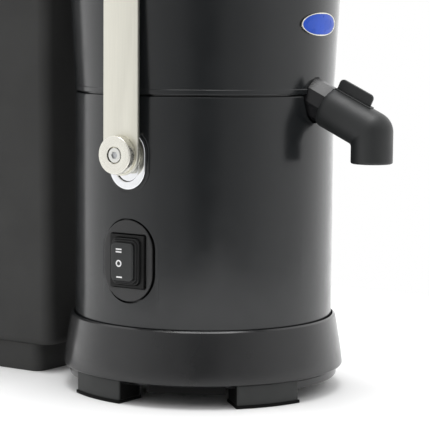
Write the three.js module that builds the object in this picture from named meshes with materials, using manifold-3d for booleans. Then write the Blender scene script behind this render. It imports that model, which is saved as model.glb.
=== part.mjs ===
// Centrifugal juicer: a motor housing on a skirted base, a juice bowl with a turning spout nozzle,
// a lid with a feed chute and pusher, a steel bail that clamps the lid, and a pulp bin behind.
// Millimetres, +Z up. The spout points to -Y, the pulp bin stands on the +Y side and the switch
// is on the -X side. The origin is on the floor at the middle of the whole footprint.
import * as THREE from 'three';
import { mergeVertices } from 'three/addons/utils/BufferGeometryUtils.js';
import Module from 'manifold-3d';

const wasm = await Module();
wasm.setup();

// ---------------------------------------------------------------- driving dimensions
const GAP = 0.3;                  // room between neighbouring pieces
const ROUND = 36;                 // facets round the large turned pieces
const SMALL_ROUND = 16;           // facets round the small turned pieces

const HOUSING_R = 90;             // outside of the motor housing
const HOUSING_WALL = 2.6;
const SEAM_Z = 205.8;             // where the housing ends and the bowl starts
const DECK_Z = 182.5;             // underside of the housing's upper deck
const DECK_THICK = 2.5;

const SKIRT_TOP_Z = 51.4;         // upper edge of the base skirt
const SKIRT_TOP_R = 92.3;
const SKIRT_MAX_R = 98.3;
const SKIRT_MAX_Z = 16.2;
const SKIRT_LIP_R = 94;           // lip under the skirt
const SKIRT_LIP_Z = 9;
const SKIRT_WALL = 3;
const WEB_Z = 16;                 // underside of the web that the feet are screwed to
const WEB_INNER_R = 68;

const FOOT_OUTER_R = 95.5;
const FOOT_INNER_R = 72;
const FOOT_SPAN = 28.5;           // degrees of arc
const FOOT_ANGLES = [-28, -106, 152, 74];   // degrees from the spout, towards +X
const SOLE_FLARE = 1;
const SOLE_Z = 2.5;

const BOWL_TOP_Z = 292;
const BOWL_SLOPE = 0.051;         // radius gained per millimetre of height
const BOWL_WALL = 2.5;
const BOWL_SPIGOT_R = 86.9;       // the part that sits inside the housing
const BOWL_FLOOR_Z = 190.5;
const BOWL_FLOOR_THICK = 2.5;
const BOWL_BAND = 4;              // height of the band above the seam
const BOWL_BAND_PROUD = 0.35;

const BADGE_Z = 252.8;
const BADGE_WIDTH = 43;
const BADGE_HEIGHT = 16;
const BADGE_THICK = 1.2;

const SPOUT_TILT = 25;            // degrees below level
const SPOUT_CORNERS = [[2.8, 13.4], [9.8, 7.6], [12.2, -0.5], [9.2, -8.6], [3.2, -12.4]];
const SPOUT_FLAT_R = 11.6;        // from the spout's axis to its nearest flat
const SPOUT_HALF_WIDTH = 12.2;
const SPOUT_NOTCH = 1.8;          // room round the spout where it crosses the housing's edge
const SPOUT_BORE_R = 8.8;
const NOZZLE_U = 99.8;            // centre of the nozzle's rim
const NOZZLE_Z = 197.8;
const NOZZLE_R = 14;
const NOZZLE_BORE_R = 11;
const NOZZLE_LEG = 36.8;          // rim to elbow, along the spout's axis
const NOZZLE_OUTLET_Z = 161.4;
const SPIGOT_LENGTH = 16;         // how far the spout's round end reaches into the nozzle
const SPOUT_REACH = 22;           // how far the spout's tube reaches back from the nozzle's rim

const PIVOT_Z = 166.7;            // axis of the bail
const PLATE_Z = 162.6;            // centre of the chrome plate round the pivot
const PLATE_FACE = 91.4;
const BOSS_FACE = 89.6;
const SLOT_WIDTH = 18;
const SLOT_HEIGHT = 28.5;
const BLOCK_WIDTH = 17.4;
const BLOCK_HEIGHT = 26.4;
const BLOCK_Z = 161.85;           // its centre, with the bail pulled down by its springs
const SEAT_TOP_Z = 162.7;         // where the return spring stands on the block's tail
const PIN_R = 6.2;                // where the pin carries the strap
const PIN_ROOT_R = 5;             // where it sits in its sliding block
const STRAP_WIDTH = 27.7;
const STRAP_THICK = 2.5;
const STRAP_INNER = 96.4;         // distance of the strap's inner face from the mid-plane
const STRAP_BEND_Z = 298;
const GRIP_FORWARD = 48;          // the grip's axis, forward of the drum axis
const GRIP_Z = 352;
const GRIP_R = 8;
const KNOB_R = 12.7;
const KNOB_FACE = 105.7;
const SCREW_SEAT = 101.3;         // bottom of the knob's counterbore
const LUG_INNER = 88.6;
const LUG_Z = 303.5;

const SWITCH_Z = 95.6;
const PANEL_WIDTH = 40;
const PANEL_HEIGHT = 56;
const PANEL_FACE = 88;
const PANEL_BACK = 85.8;
const BEZEL_WIDTH = 27.5;
const BEZEL_HEIGHT = 35.2;
const BEZEL_FACE = 91.4;
const BOOT_WIDTH = 21.6;
const BOOT_HEIGHT = 31;
const BOOT_FACE = 92.2;
const ROCKER_FACE = 97.1;

const LID_RIM_R = 96;
const LID_RIM_TOP_Z = 297;
const LID_DRUM_R = 86.5;
const LID_TOP_Z = 326;
const LID_WALL = 2.6;
const CHUTE_Y = 19;               // the feed chute's axis, behind the drum axis
const CHUTE_R = 36.5;
const CHUTE_BORE_R = 34;
const CHUTE_TOP_Z = 398;
const CHUTE_BOTTOM_Z = 232;
const PUSHER_R = 32.8;
const PUSHER_BOTTOM_Z = 248;
const PUSHER_TOP_Z = 456;

const DUCT_WIDTH = 76;
const DUCT_END_Y = 176;
const DUCT_BOTTOM_Z = 298.3;
const DUCT_WALL = 2.4;
const WINDOW_WIDTH = 58;

const BIN_FRONT_Y = 102;
const BIN_BACK_Y = 266;
const BIN_TOP_Z = 292;
const BIN_TOP_WIDTH = 100;
const BIN_BOTTOM_WIDTH = 92;
const BIN_PLINTH_Z = 20;
const BIN_WALL = 2.4;

const SHAFT_R = 6;

// ---------------------------------------------------------------- materials
const finish = (color, roughness, metalness = 0) =>
  new THREE.MeshStandardMaterial({ color, roughness, metalness });
const satinBlack = () => finish(0x242527, 0.38);
const mattBlack = () => finish(0x2a2b2c, 0.6);
const rubber = () => finish(0x2b2c2d, 0.8);
const glossBlack = () => finish(0x151617, 0.2);
const brushedSteel = () => finish(0xbdb9b0, 0.35, 1);
const chrome = () => finish(0xd9dadc, 0.08, 1);
const castAluminium = () => finish(0xa3a5a8, 0.5, 1);
const motorSteel = () => finish(0x6c6e72, 0.5, 0.9);

// ---------------------------------------------------------------- shape tools
const radians = THREE.MathUtils.degToRad;

// A closed geometry becomes a solid for joining and cutting.
function solidOf(geometry) {
  const bare = geometry.index ? geometry.toNonIndexed() : geometry.clone();
  for (const name of Object.keys(bare.attributes)) {
    if (name !== 'position') bare.deleteAttribute(name);
  }
  const merged = mergeVertices(bare, 1e-4);
  const index = merged.index.array;
  const kept = [];
  for (let i = 0; i < index.length; i += 3) {
    const [a, b, c] = [index[i], index[i + 1], index[i + 2]];
    if (a !== b && b !== c && a !== c) kept.push(a, b, c);
  }
  const vertProperties = Float32Array.from(merged.attributes.position.array);
  const triVerts = Uint32Array.from(kept);
  return new wasm.Manifold(new wasm.Mesh({ numProp: 3, vertProperties, triVerts }));
}

function geometryOf(solid) {
  const mesh = solid.getMesh();
  const geometry = new THREE.BufferGeometry();
  geometry.setAttribute('position', new THREE.BufferAttribute(mesh.vertProperties, 3));
  geometry.setIndex(new THREE.BufferAttribute(mesh.triVerts, 1));
  geometry.computeVertexNormals();
  return geometry;
}

const join = (...geometries) =>
  geometryOf(geometries.map(solidOf).reduce((sum, solid) => sum.add(solid)));
const cut = (body, ...cutters) =>
  geometryOf(cutters.map(solidOf).reduce((rest, solid) => rest.subtract(solid), solidOf(body)));
const common = (a, b) => geometryOf(solidOf(a).intersect(solidOf(b)));

// Turns a closed outline of [radius, z] points about the Z axis.
function turned(outline, facets = ROUND) {
  let area = 0;
  outline.forEach(([r, z], i) => {
    const [nextR, nextZ] = outline[(i + 1) % outline.length];
    area += r * nextZ - nextR * z;
  });
  const points = (area > 0 ? outline : [...outline].reverse())
    .map(([r, z]) => new THREE.Vector2(r, z));
  points.push(points[0].clone());
  return geometryOf(solidOf(new THREE.LatheGeometry(points, facets).rotateX(Math.PI / 2)));
}

const ring = (inner, outer, low, high, facets = ROUND) =>
  turned([[inner, low], [outer, low], [outer, high], [inner, high]], facets);

function disc(radius, low, high, facets = SMALL_ROUND) {
  return new THREE.CylinderGeometry(radius, radius, high - low, facets)
    .rotateX(Math.PI / 2).translate(0, 0, (low + high) / 2);
}

// A box from its low corner to its high corner.
function block(low, high) {
  const size = high.map((value, i) => value - low[i]);
  return new THREE.BoxGeometry(...size)
    .translate(...low.map((value, i) => value + size[i] / 2));
}

function extruded(shape, low, high, curveSegments = 4) {
  const depth = high - low;
  return new THREE.ExtrudeGeometry(shape, { depth, bevelEnabled: false, curveSegments })
    .translate(0, 0, low);
}

// A rectangle with round corners, centred on (x, y).
function roundedRect(width, height, corner, x = 0, y = 0) {
  const [w, h] = [width / 2, height / 2];
  const shape = new THREE.Shape();
  shape.moveTo(x + w, y - h + corner);
  shape.absarc(x + w - corner, y + h - corner, corner, 0, Math.PI / 2);
  shape.absarc(x - w + corner, y + h - corner, corner, Math.PI / 2, Math.PI);
  shape.absarc(x - w + corner, y - h + corner, corner, Math.PI, 1.5 * Math.PI);
  shape.absarc(x + w - corner, y - h + corner, corner, 1.5 * Math.PI, 2 * Math.PI);
  return shape;
}

// A slot with half-round ends, taller than it is wide.
function obround(width, height, y) {
  const [r, straight] = [width / 2, (height - width) / 2];
  const shape = new THREE.Shape();
  shape.moveTo(r, y - straight);
  shape.absarc(0, y + straight, r, 0, Math.PI);
  shape.absarc(0, y - straight, r, Math.PI, 2 * Math.PI);
  return shape;
}

const withHole = (shape, hole) => {
  shape.holes.push(hole);
  return shape;
};

// Frame of a side of the machine, seen from outside: x right, y up, z out from the mid-plane.
const sideMatrix = side => new THREE.Matrix4().makeBasis(
  new THREE.Vector3(0, side, 0), new THREE.Vector3(0, 0, 1), new THREE.Vector3(side, 0, 0));

// Frame of the spout: z along its axis from the nozzle's rim, y up, x sideways.
const tilt = radians(SPOUT_TILT);
const spoutAxis = new THREE.Vector3(0, -Math.cos(tilt), -Math.sin(tilt));
const spoutUp = new THREE.Vector3(0, -Math.sin(tilt), Math.cos(tilt));
const spoutMatrix = new THREE.Matrix4()
  .makeBasis(new THREE.Vector3().crossVectors(spoutUp, spoutAxis), spoutUp, spoutAxis)
  .setPosition(0, -NOZZLE_U, NOZZLE_Z);

// ---------------------------------------------------------------- scene graph
const machine = new THREE.Group();
const leftSide = new THREE.Group();
const rightSide = new THREE.Group();
const spoutGroup = new THREE.Group();
sideMatrix(-1).decompose(leftSide.position, leftSide.quaternion, leftSide.scale);
sideMatrix(1).decompose(rightSide.position, rightSide.quaternion, rightSide.scale);
spoutMatrix.decompose(spoutGroup.position, spoutGroup.quaternion, spoutGroup.scale);
machine.add(leftSide, rightSide, spoutGroup);

function place(name, geometry, material, parent = machine) {
  const mesh = new THREE.Mesh(geometryOf(solidOf(geometry)), material);
  mesh.name = name;
  parent.add(mesh);
  return mesh;
}

// ---------------------------------------------------------------- base and feet
// An arc-shaped block round the drum axis; the angle is measured from the spout towards +X.
function arcBlock(inner, outer, angle, span, low, high) {
  const middle = radians(angle - 90);
  const half = radians(span / 2);
  const shape = new THREE.Shape();
  shape.absarc(0, 0, outer, middle - half, middle + half);
  shape.absarc(0, 0, inner, middle + half, middle - half, true);
  return extruded(shape, low, high, 3);
}

const footScrewR = (FOOT_INNER_R + FOOT_OUTER_R) / 2;

function addBase() {
  const pockets = FOOT_ANGLES.map(angle => arcBlock(
    FOOT_INNER_R - GAP, SKIRT_LIP_R + 4, angle, FOOT_SPAN + 0.6, SKIRT_LIP_Z - 1, WEB_Z));
  const screwHoles = FOOT_ANGLES.map(angle => disc(2.6, WEB_Z - 1, WEB_Z + 4, 8)
    .translate(footScrewR * Math.sin(radians(angle)), -footScrewR * Math.cos(radians(angle)), 0));
  const glandHole = disc(8.3, 80, 110).applyMatrix4(glandMatrix);
  const outline = [
    [SKIRT_LIP_R - 2.5, SKIRT_LIP_Z], [SKIRT_LIP_R, SKIRT_LIP_Z],
    [SKIRT_LIP_R, WEB_Z - 2.6], [SKIRT_MAX_R, SKIRT_MAX_Z], [SKIRT_MAX_R - 1, 25],
    [SKIRT_TOP_R + 1.3, 45.6], [SKIRT_TOP_R, SKIRT_TOP_Z],
    [HOUSING_R + 1, SKIRT_TOP_Z], [HOUSING_R + GAP, 49], [HOUSING_R + GAP, 44.7],
    [88.6, 44.7], [91.5, 40], [SKIRT_MAX_R - SKIRT_WALL, WEB_Z + 2.5],
    [WEB_INNER_R, WEB_Z + 2.5], [WEB_INNER_R, WEB_Z], [SKIRT_LIP_R - 2.5, WEB_Z],
  ];
  place('base_skirt', cut(turned(outline), ...pockets, ...screwHoles, glandHole), mattBlack());

  const vents = [-36, -24, -12, 0, 12, 24, 36].map(x =>
    block([x - 2, -26, WEB_Z - 1], [x + 2, 26, WEB_Z + 4]));
  place('bottom_plate', cut(disc(WEB_INNER_R - GAP, WEB_Z, WEB_Z + 2.5, ROUND), ...vents),
    mattBlack());
}

function addFoot(angle, number) {
  const sole = arcBlock(
    FOOT_INNER_R - SOLE_FLARE, FOOT_OUTER_R + SOLE_FLARE, angle, FOOT_SPAN + 1.2, 0, SOLE_Z);
  const pad = arcBlock(FOOT_INNER_R, FOOT_OUTER_R, angle, FOOT_SPAN, 1, WEB_Z - GAP);
  const [x, y] = [
    footScrewR * Math.sin(radians(angle)), -footScrewR * Math.cos(radians(angle))];
  const bore = disc(2.6, -1, WEB_Z + 1, 8).translate(x, y, 0);
  const counterbore = disc(5.4, -1, 7, 8).translate(x, y, 0);
  place(`foot_${number}`, cut(join(sole, pad), bore, counterbore), rubber());
  place(`foot_screw_${number}`,
    join(disc(4.8, 3.6, 6.7, 8), disc(2.2, 5, WEB_Z + 4, 8)).translate(x, y, 0),
    motorSteel());
}

// The mains lead's bushing, low on the skirt behind the machine's right side.
const glandMatrix = new THREE.Matrix4()
  .makeRotationZ(radians(45))
  .multiply(new THREE.Matrix4().makeRotationY(Math.PI / 2))
  .setPosition(0, 0, 31);

function addGland() {
  const outline = [[4, 89], [8, 89], [8, 98.9], [11, 98.9], [11, 101], [8, 103], [7, 108], [4, 108]];
  place('cord_gland', turned(outline, SMALL_ROUND).applyMatrix4(glandMatrix), rubber());
}

// ---------------------------------------------------------------- housing
const housingInner = HOUSING_R - HOUSING_WALL;

// Outline of the spout's tube across its axis, with room for a clearance all round.
function spoutSection(room) {
  const scale = 1 + room / SPOUT_FLAT_R;
  const right = SPOUT_CORNERS.map(([x, y]) => new THREE.Vector2(x * scale, y * scale));
  const left = [...right].reverse().map(({ x, y }) => new THREE.Vector2(-x, y));
  return new THREE.Shape([...right, ...left]);
}

function addHousing() {
  const shell = turned([
    [housingInner, 45], [HOUSING_R, 45], [HOUSING_R, SEAM_Z - 0.9], [HOUSING_R - 0.5, SEAM_Z - 0.3],
    [housingInner, SEAM_Z - 0.3], [housingInner, DECK_Z + DECK_THICK], [26, DECK_Z + DECK_THICK],
    [26, DECK_Z], [housingInner, DECK_Z],
  ]);
  const additions = [];
  const cutters = [];
  for (const side of [-1, 1]) {
    const matrix = sideMatrix(side);
    additions.push(extruded(obround(33, 43, PLATE_Z), 84.5, BOSS_FACE).applyMatrix4(matrix));
    cutters.push(
      extruded(obround(SLOT_WIDTH, SLOT_HEIGHT, PLATE_Z), 80, 95).applyMatrix4(matrix),
      extruded(obround(33, 43, PLATE_Z), BOSS_FACE, 95).applyMatrix4(matrix));
  }
  const left = sideMatrix(-1);
  const notchHalf = SPOUT_HALF_WIDTH * (1 + SPOUT_NOTCH / SPOUT_FLAT_R);
  additions.push(extruded(obround(PANEL_WIDTH + 5, PANEL_HEIGHT + 5, SWITCH_Z), 82.5, 87.6)
    .applyMatrix4(left));
  cutters.push(
    extruded(obround(PANEL_WIDTH + 2 * GAP, PANEL_HEIGHT + 2 * GAP, SWITCH_Z), 85.5, 95)
      .applyMatrix4(left),
    extruded(roundedRect(26, 33, 1, 0, SWITCH_Z), 70, 95, 1).applyMatrix4(left),
    extruded(spoutSection(SPOUT_NOTCH), -30, 30).applyMatrix4(spoutMatrix),
    block([-notchHalf, -95, 197], [notchHalf, -75, 210]));
  const body = additions.map(solidOf).reduce((sum, solid) => sum.add(solid), solidOf(shell));
  place('motor_housing', cut(geometryOf(body), ...cutters), satinBlack());
}

// ---------------------------------------------------------------- motor
function addMotor() {
  const bearing = [SHAFT_R + GAP, 16];
  const bracketTop = DECK_Z - GAP;
  place('motor_bracket_upper', turned([
    [16.3, 158], [20, 158], [20, 172], [50, 172], [50, 148.3], [56, 148.3],
    [60, bracketTop], [28, bracketTop], [28, 176], [12, 176], [12, 172.5], [16.3, 172.5],
  ], SMALL_ROUND), castAluminium());
  place('motor_stator', ring(32, 55, 88, 148, SMALL_ROUND), motorSteel());
  place('motor_bracket_lower', turned([
    [16.3, 78], [55, 78], [55, 87.7], [51, 87.7], [51, 82], [20, 82], [20, 88], [16.3, 88],
  ], SMALL_ROUND), castAluminium());
  place('bearing_upper', ring(...bearing, 160, 172, SMALL_ROUND), chrome());
  place('bearing_lower', ring(...bearing, 78, 88, SMALL_ROUND), chrome());
  place('run_capacitor', disc(13, 80, 140).translate(50, 50, 0), castAluminium());

  const blades = [0, 1, 2, 3, 4, 5].map(i =>
    block([14, -1, 63], [42, 1, 74]).rotateZ(radians(60 * i)));
  place('cooling_fan', join(ring(SHAFT_R + GAP, 16, 62, 74, SMALL_ROUND),
    ring(10, 44, 62, 64.5, SMALL_ROUND), ...blades), mattBlack());
  place('motor_rotor', ring(SHAFT_R + GAP, 31.4, 92, 146, SMALL_ROUND), motorSteel());
  place('motor_shaft', turned([
    [0, 60], [SHAFT_R, 60], [SHAFT_R, 214], [5, 215], [5, 222], [0, 222],
  ], SMALL_ROUND), brushedSteel());
}

// ---------------------------------------------------------------- bowl, basket and disc
const bowlRadius = z => HOUSING_R + BOWL_SLOPE * (z - SEAM_Z);

function addBowl() {
  const bottom = SEAM_Z + GAP;
  const bandTop = SEAM_Z + BOWL_BAND;
  const floorTop = BOWL_FLOOR_Z + BOWL_FLOOR_THICK;
  const shell = turned([
    [14, BOWL_FLOOR_Z], [BOWL_SPIGOT_R, BOWL_FLOOR_Z], [BOWL_SPIGOT_R, bottom],
    [bowlRadius(bottom) + BOWL_BAND_PROUD, bottom],
    [bowlRadius(bandTop) + BOWL_BAND_PROUD, bandTop - 0.4], [bowlRadius(bandTop), bandTop],
    [bowlRadius(BOWL_TOP_Z), BOWL_TOP_Z], [bowlRadius(BOWL_TOP_Z) - BOWL_WALL, BOWL_TOP_Z],
    [bowlRadius(212) - BOWL_WALL, 212], [BOWL_SPIGOT_R - BOWL_WALL, 206],
    [BOWL_SPIGOT_R - BOWL_WALL, floorTop], [17, floorTop], [17, 204], [14, 204],
  ]);
  const socket = extruded(spoutSection(GAP), -SPOUT_REACH - 10, 5).applyMatrix4(spoutMatrix);
  place('juice_bowl', cut(shell, socket), satinBlack());
  place('shaft_seal', ring(SHAFT_R + GAP, 13.7, 196, 202, SMALL_ROUND), rubber());

}

// The spout's tube starts flush with the inside of the bowl and ends in a round spigot.
function addSpout() {
  const tube = extruded(spoutSection(0), -SPOUT_REACH, -GAP);
  const spigot = disc(NOZZLE_BORE_R - GAP, -6, SPIGOT_LENGTH);
  const bore = disc(SPOUT_BORE_R, -SPOUT_REACH - 15, SPIGOT_LENGTH + 2);
  const inside = disc(BOWL_SPIGOT_R - BOWL_WALL, BOWL_FLOOR_Z - 10, 240, ROUND)
    .applyMatrix4(spoutMatrix.clone().invert());
  place('bowl_spout', cut(join(tube, spigot), bore, inside), satinBlack(), spoutGroup);
}

// A plain oval plate that follows the bowl's surface above the spout.
function addBadge() {
  const [low, high] = [BADGE_Z - BADGE_HEIGHT, BADGE_Z + BADGE_HEIGHT];
  const oval = new THREE.Shape();
  oval.absellipse(0, BADGE_Z, BADGE_WIDTH / 2, BADGE_HEIGHT / 2, 0, 2 * Math.PI);
  const skin = turned([
    [bowlRadius(low) + GAP, low], [bowlRadius(low) + GAP + BADGE_THICK, low],
    [bowlRadius(high) + GAP + BADGE_THICK, high], [bowlRadius(high) + GAP, high]]);
  const column = extruded(oval, 80, 100, 12).rotateX(Math.PI / 2);
  place('badge', common(column, skin), finish(0x1a3a8c, 0.3));
}

function addBasket() {
  place('drive_hub', turned([
    [SHAFT_R + GAP, 205.5], [11, 205.5], [12, 208], [30, 208], [30, 211], [SHAFT_R + GAP, 211],
  ], SMALL_ROUND), castAluminium());
  place('sieve_basket', turned([
    [7, 211.3], [57.5, 211.3], [59, 213], [79, 282.5], [81, 282.5], [81, 284.5], [78, 284.5],
    [56.8, 213], [7, 213],
  ]), brushedSteel());
  const teeth = [];
  for (let i = 0; i < 16; i += 1) {
    const [radius, angle] = [18 + 2.2 * i, radians(137.5 * i)];
    teeth.push(new THREE.ConeGeometry(1.4, 3, 4).rotateX(Math.PI / 2)
      .translate(radius * Math.cos(angle), radius * Math.sin(angle), 216));
  }
  place('grating_disc', join(ring(7, 55.8, 213.3, 215.3), ...teeth), brushedSteel());
  place('clamp_nut', turned([
    [5.3, 215.6], [14, 215.6], [14, 221], [9, 226], [0, 226], [0, 222.4], [5.3, 222.4],
  ], 12), brushedSteel());
}

// ---------------------------------------------------------------- nozzle
function addNozzle() {
  const legTwo = radians(90 - SPOUT_TILT);
  const elbowZ = NOZZLE_Z - NOZZLE_LEG * Math.sin(tilt);
  const drop = elbowZ - NOZZLE_OUTLET_Z;
  const elbow = (radius, start, end) => {
    const first = disc(radius, start, NOZZLE_LEG);
    const ball = new THREE.SphereGeometry(radius, SMALL_ROUND, 8);
    ball.rotateX(Math.PI / 2).translate(0, 0, NOZZLE_LEG);
    const second = disc(radius, 0, end).rotateX(legTwo).translate(0, 0, NOZZLE_LEG);
    return join(first, ball, second);
  };
  const fin = roundedRect(27.5, 16, 3, 14.55, 14.1);
  const finPlate = extruded(fin, -1, 1, 2).rotateY(-Math.PI / 2);
  const outside = join(elbow(NOZZLE_R, 0, drop), finPlate);
  const inside = elbow(NOZZLE_BORE_R, -2, drop + 2);
  place('spout_nozzle', cut(outside, inside), rubber(), spoutGroup);
}

// ---------------------------------------------------------------- lid, duct and pusher
function addLid() {
  const inner = LID_DRUM_R - LID_WALL;
  const dome = turned([
    [inner, 288], [91.4, 288], [91.4, BOWL_TOP_Z + GAP], [LID_RIM_R, BOWL_TOP_Z + GAP],
    [LID_RIM_R, LID_RIM_TOP_Z - 1], [LID_RIM_R - 1, LID_RIM_TOP_Z], [LID_DRUM_R + 1, 297.6],
    [LID_DRUM_R, 299], [LID_DRUM_R - 1, 314], [82.4, 320], [76.6, 324.6], [68, LID_TOP_Z],
    [0, LID_TOP_Z], [0, LID_TOP_Z - LID_WALL], [67, LID_TOP_Z - LID_WALL], [75, 322],
    [80, 317.8], [inner - 1, 313],
  ]);
  const hole = disc(CHUTE_R + GAP, LID_TOP_Z - 10, LID_TOP_Z + 5, 32).translate(0, CHUTE_Y, 0);
  // The bail's lugs bear on pads whose tops follow an arc about the bail's axis.
  const arc = new THREE.CylinderGeometry(
    LUG_Z - GAP - PIVOT_Z, LUG_Z - GAP - PIVOT_Z, 240, 2 * ROUND)
    .rotateZ(Math.PI / 2).translate(0, 0, PIVOT_Z);
  const pads = [-1, 1].map(side => common(arc,
    block([Math.min(side * 85.5, side * 95), -9, 295], [Math.max(side * 85.5, side * 95), 9, 310])));
  const window = block([-WINDOW_WIDTH / 2, 60, 301], [WINDOW_WIDTH / 2, 100, 320]);
  place('lid', cut(join(dome, ...pads), hole, window), satinBlack());
}

// The chute stands in the lid's hole on a flange and ends just above the grating disc.
function addChute() {
  const flangeTop = LID_TOP_Z + 4;
  place('feed_chute', turned([
    [CHUTE_BORE_R, CHUTE_BOTTOM_Z], [CHUTE_R, CHUTE_BOTTOM_Z], [CHUTE_R, LID_TOP_Z + GAP],
    [CHUTE_R + 4, LID_TOP_Z + GAP], [CHUTE_R + 4, flangeTop - 1], [CHUTE_R + 1, flangeTop],
    [CHUTE_R, flangeTop + 2], [CHUTE_R, CHUTE_TOP_Z - 7], [CHUTE_R + 3.5, CHUTE_TOP_Z - 5],
    [CHUTE_R + 3.5, CHUTE_TOP_Z], [CHUTE_BORE_R, CHUTE_TOP_Z],
  ], 28).translate(0, CHUTE_Y, 0), satinBlack());
}

function addDuct() {
  const half = DUCT_WIDTH / 2;
  const profile = new THREE.Shape();
  profile.moveTo(70, DUCT_BOTTOM_Z);
  profile.lineTo(DUCT_END_Y, DUCT_BOTTOM_Z);
  profile.lineTo(DUCT_END_Y, 308);
  profile.absarc(DUCT_END_Y - 14, 308, 14, 0, Math.PI / 2);
  profile.lineTo(70, 323);
  const lying = (shape, low, high) =>
    extruded(shape, low, high).rotateX(Math.PI / 2).rotateZ(Math.PI / 2);
  const inner = new THREE.Shape();
  inner.moveTo(68, 301);
  inner.lineTo(108, 301);
  inner.lineTo(108, DUCT_BOTTOM_Z - 2);
  inner.lineTo(DUCT_END_Y - DUCT_WALL, DUCT_BOTTOM_Z - 2);
  inner.lineTo(DUCT_END_Y - DUCT_WALL, 308);
  inner.absarc(DUCT_END_Y - 14, 308, 14 - DUCT_WALL, 0, Math.PI / 2);
  inner.lineTo(68, 320.4);
  const lidRoom = turned([
    [0, 290], [LID_RIM_R + 1, 290], [LID_RIM_R + 1, LID_RIM_TOP_Z + 1], [LID_DRUM_R + 1, 298],
    [LID_DRUM_R + GAP, 299], [LID_DRUM_R - 1 + GAP, 314.1], [82.8, 320.2], [77, 325],
    [70, 330], [0, 330],
  ]);
  place('pulp_duct', cut(lying(profile, -half, half),
    lying(inner, -half + DUCT_WALL, half - DUCT_WALL), lidRoom), satinBlack());
}

function addPusher() {
  const flangeZ = CHUTE_TOP_Z + GAP;
  place('pusher', turned([
    [0, PUSHER_BOTTOM_Z], [PUSHER_R - 2, PUSHER_BOTTOM_Z], [PUSHER_R, PUSHER_BOTTOM_Z + 2],
    [PUSHER_R, flangeZ], [42, flangeZ], [42, flangeZ + 5], [30, flangeZ + 8],
    [25, flangeZ + 20], [27, PUSHER_TOP_Z - 8], [24.5, PUSHER_TOP_Z - 8],
    [22.5, flangeZ + 20], [PUSHER_R - 2.5, flangeZ - 6],
    [PUSHER_R - 2.5, PUSHER_BOTTOM_Z + 3], [0, PUSHER_BOTTOM_Z + 3],
  ], 24).translate(0, CHUTE_Y, 0), satinBlack());
  place('pusher_cap', turned([
    [0, PUSHER_TOP_Z - 12], [22, PUSHER_TOP_Z - 12], [24, PUSHER_TOP_Z - 7.7],
    [28.5, PUSHER_TOP_Z - 7.7], [28.5, PUSHER_TOP_Z - 3], [25, PUSHER_TOP_Z], [0, PUSHER_TOP_Z],
  ], 24).translate(0, CHUTE_Y, 0), glossBlack());
}

// ---------------------------------------------------------------- bail and its pivots
// Outline of a strap, seen from its side of the machine; ahead is +1 or -1 for the spout's way.
function strapOutline(ahead) {
  const r = STRAP_WIDTH / 2;
  const lean = Math.atan2(GRIP_FORWARD, GRIP_Z - STRAP_BEND_Z);
  const innerBend = STRAP_BEND_Z - r * Math.tan(lean / 2);
  const points = [];
  const arc = (x, y, from, to, steps) => {
    for (let i = 0; i <= steps; i += 1) {
      const angle = from + (to - from) * i / steps;
      points.push([x + r * Math.cos(angle), y + r * Math.sin(angle)]);
    }
  };
  points.push([r, innerBend]);
  arc(GRIP_FORWARD, GRIP_Z, -lean, Math.PI - lean, 12);
  arc(0, STRAP_BEND_Z, Math.PI - lean, Math.PI, 4);
  arc(0, PIVOT_Z, Math.PI, 2 * Math.PI, 16);
  return new THREE.Shape(points.map(([x, y]) => new THREE.Vector2(ahead * x, y)));
}

function circle(radius, x, y) {
  const path = new THREE.Path();
  path.absarc(x, y, radius, 0, 2 * Math.PI);
  return path;
}

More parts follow.
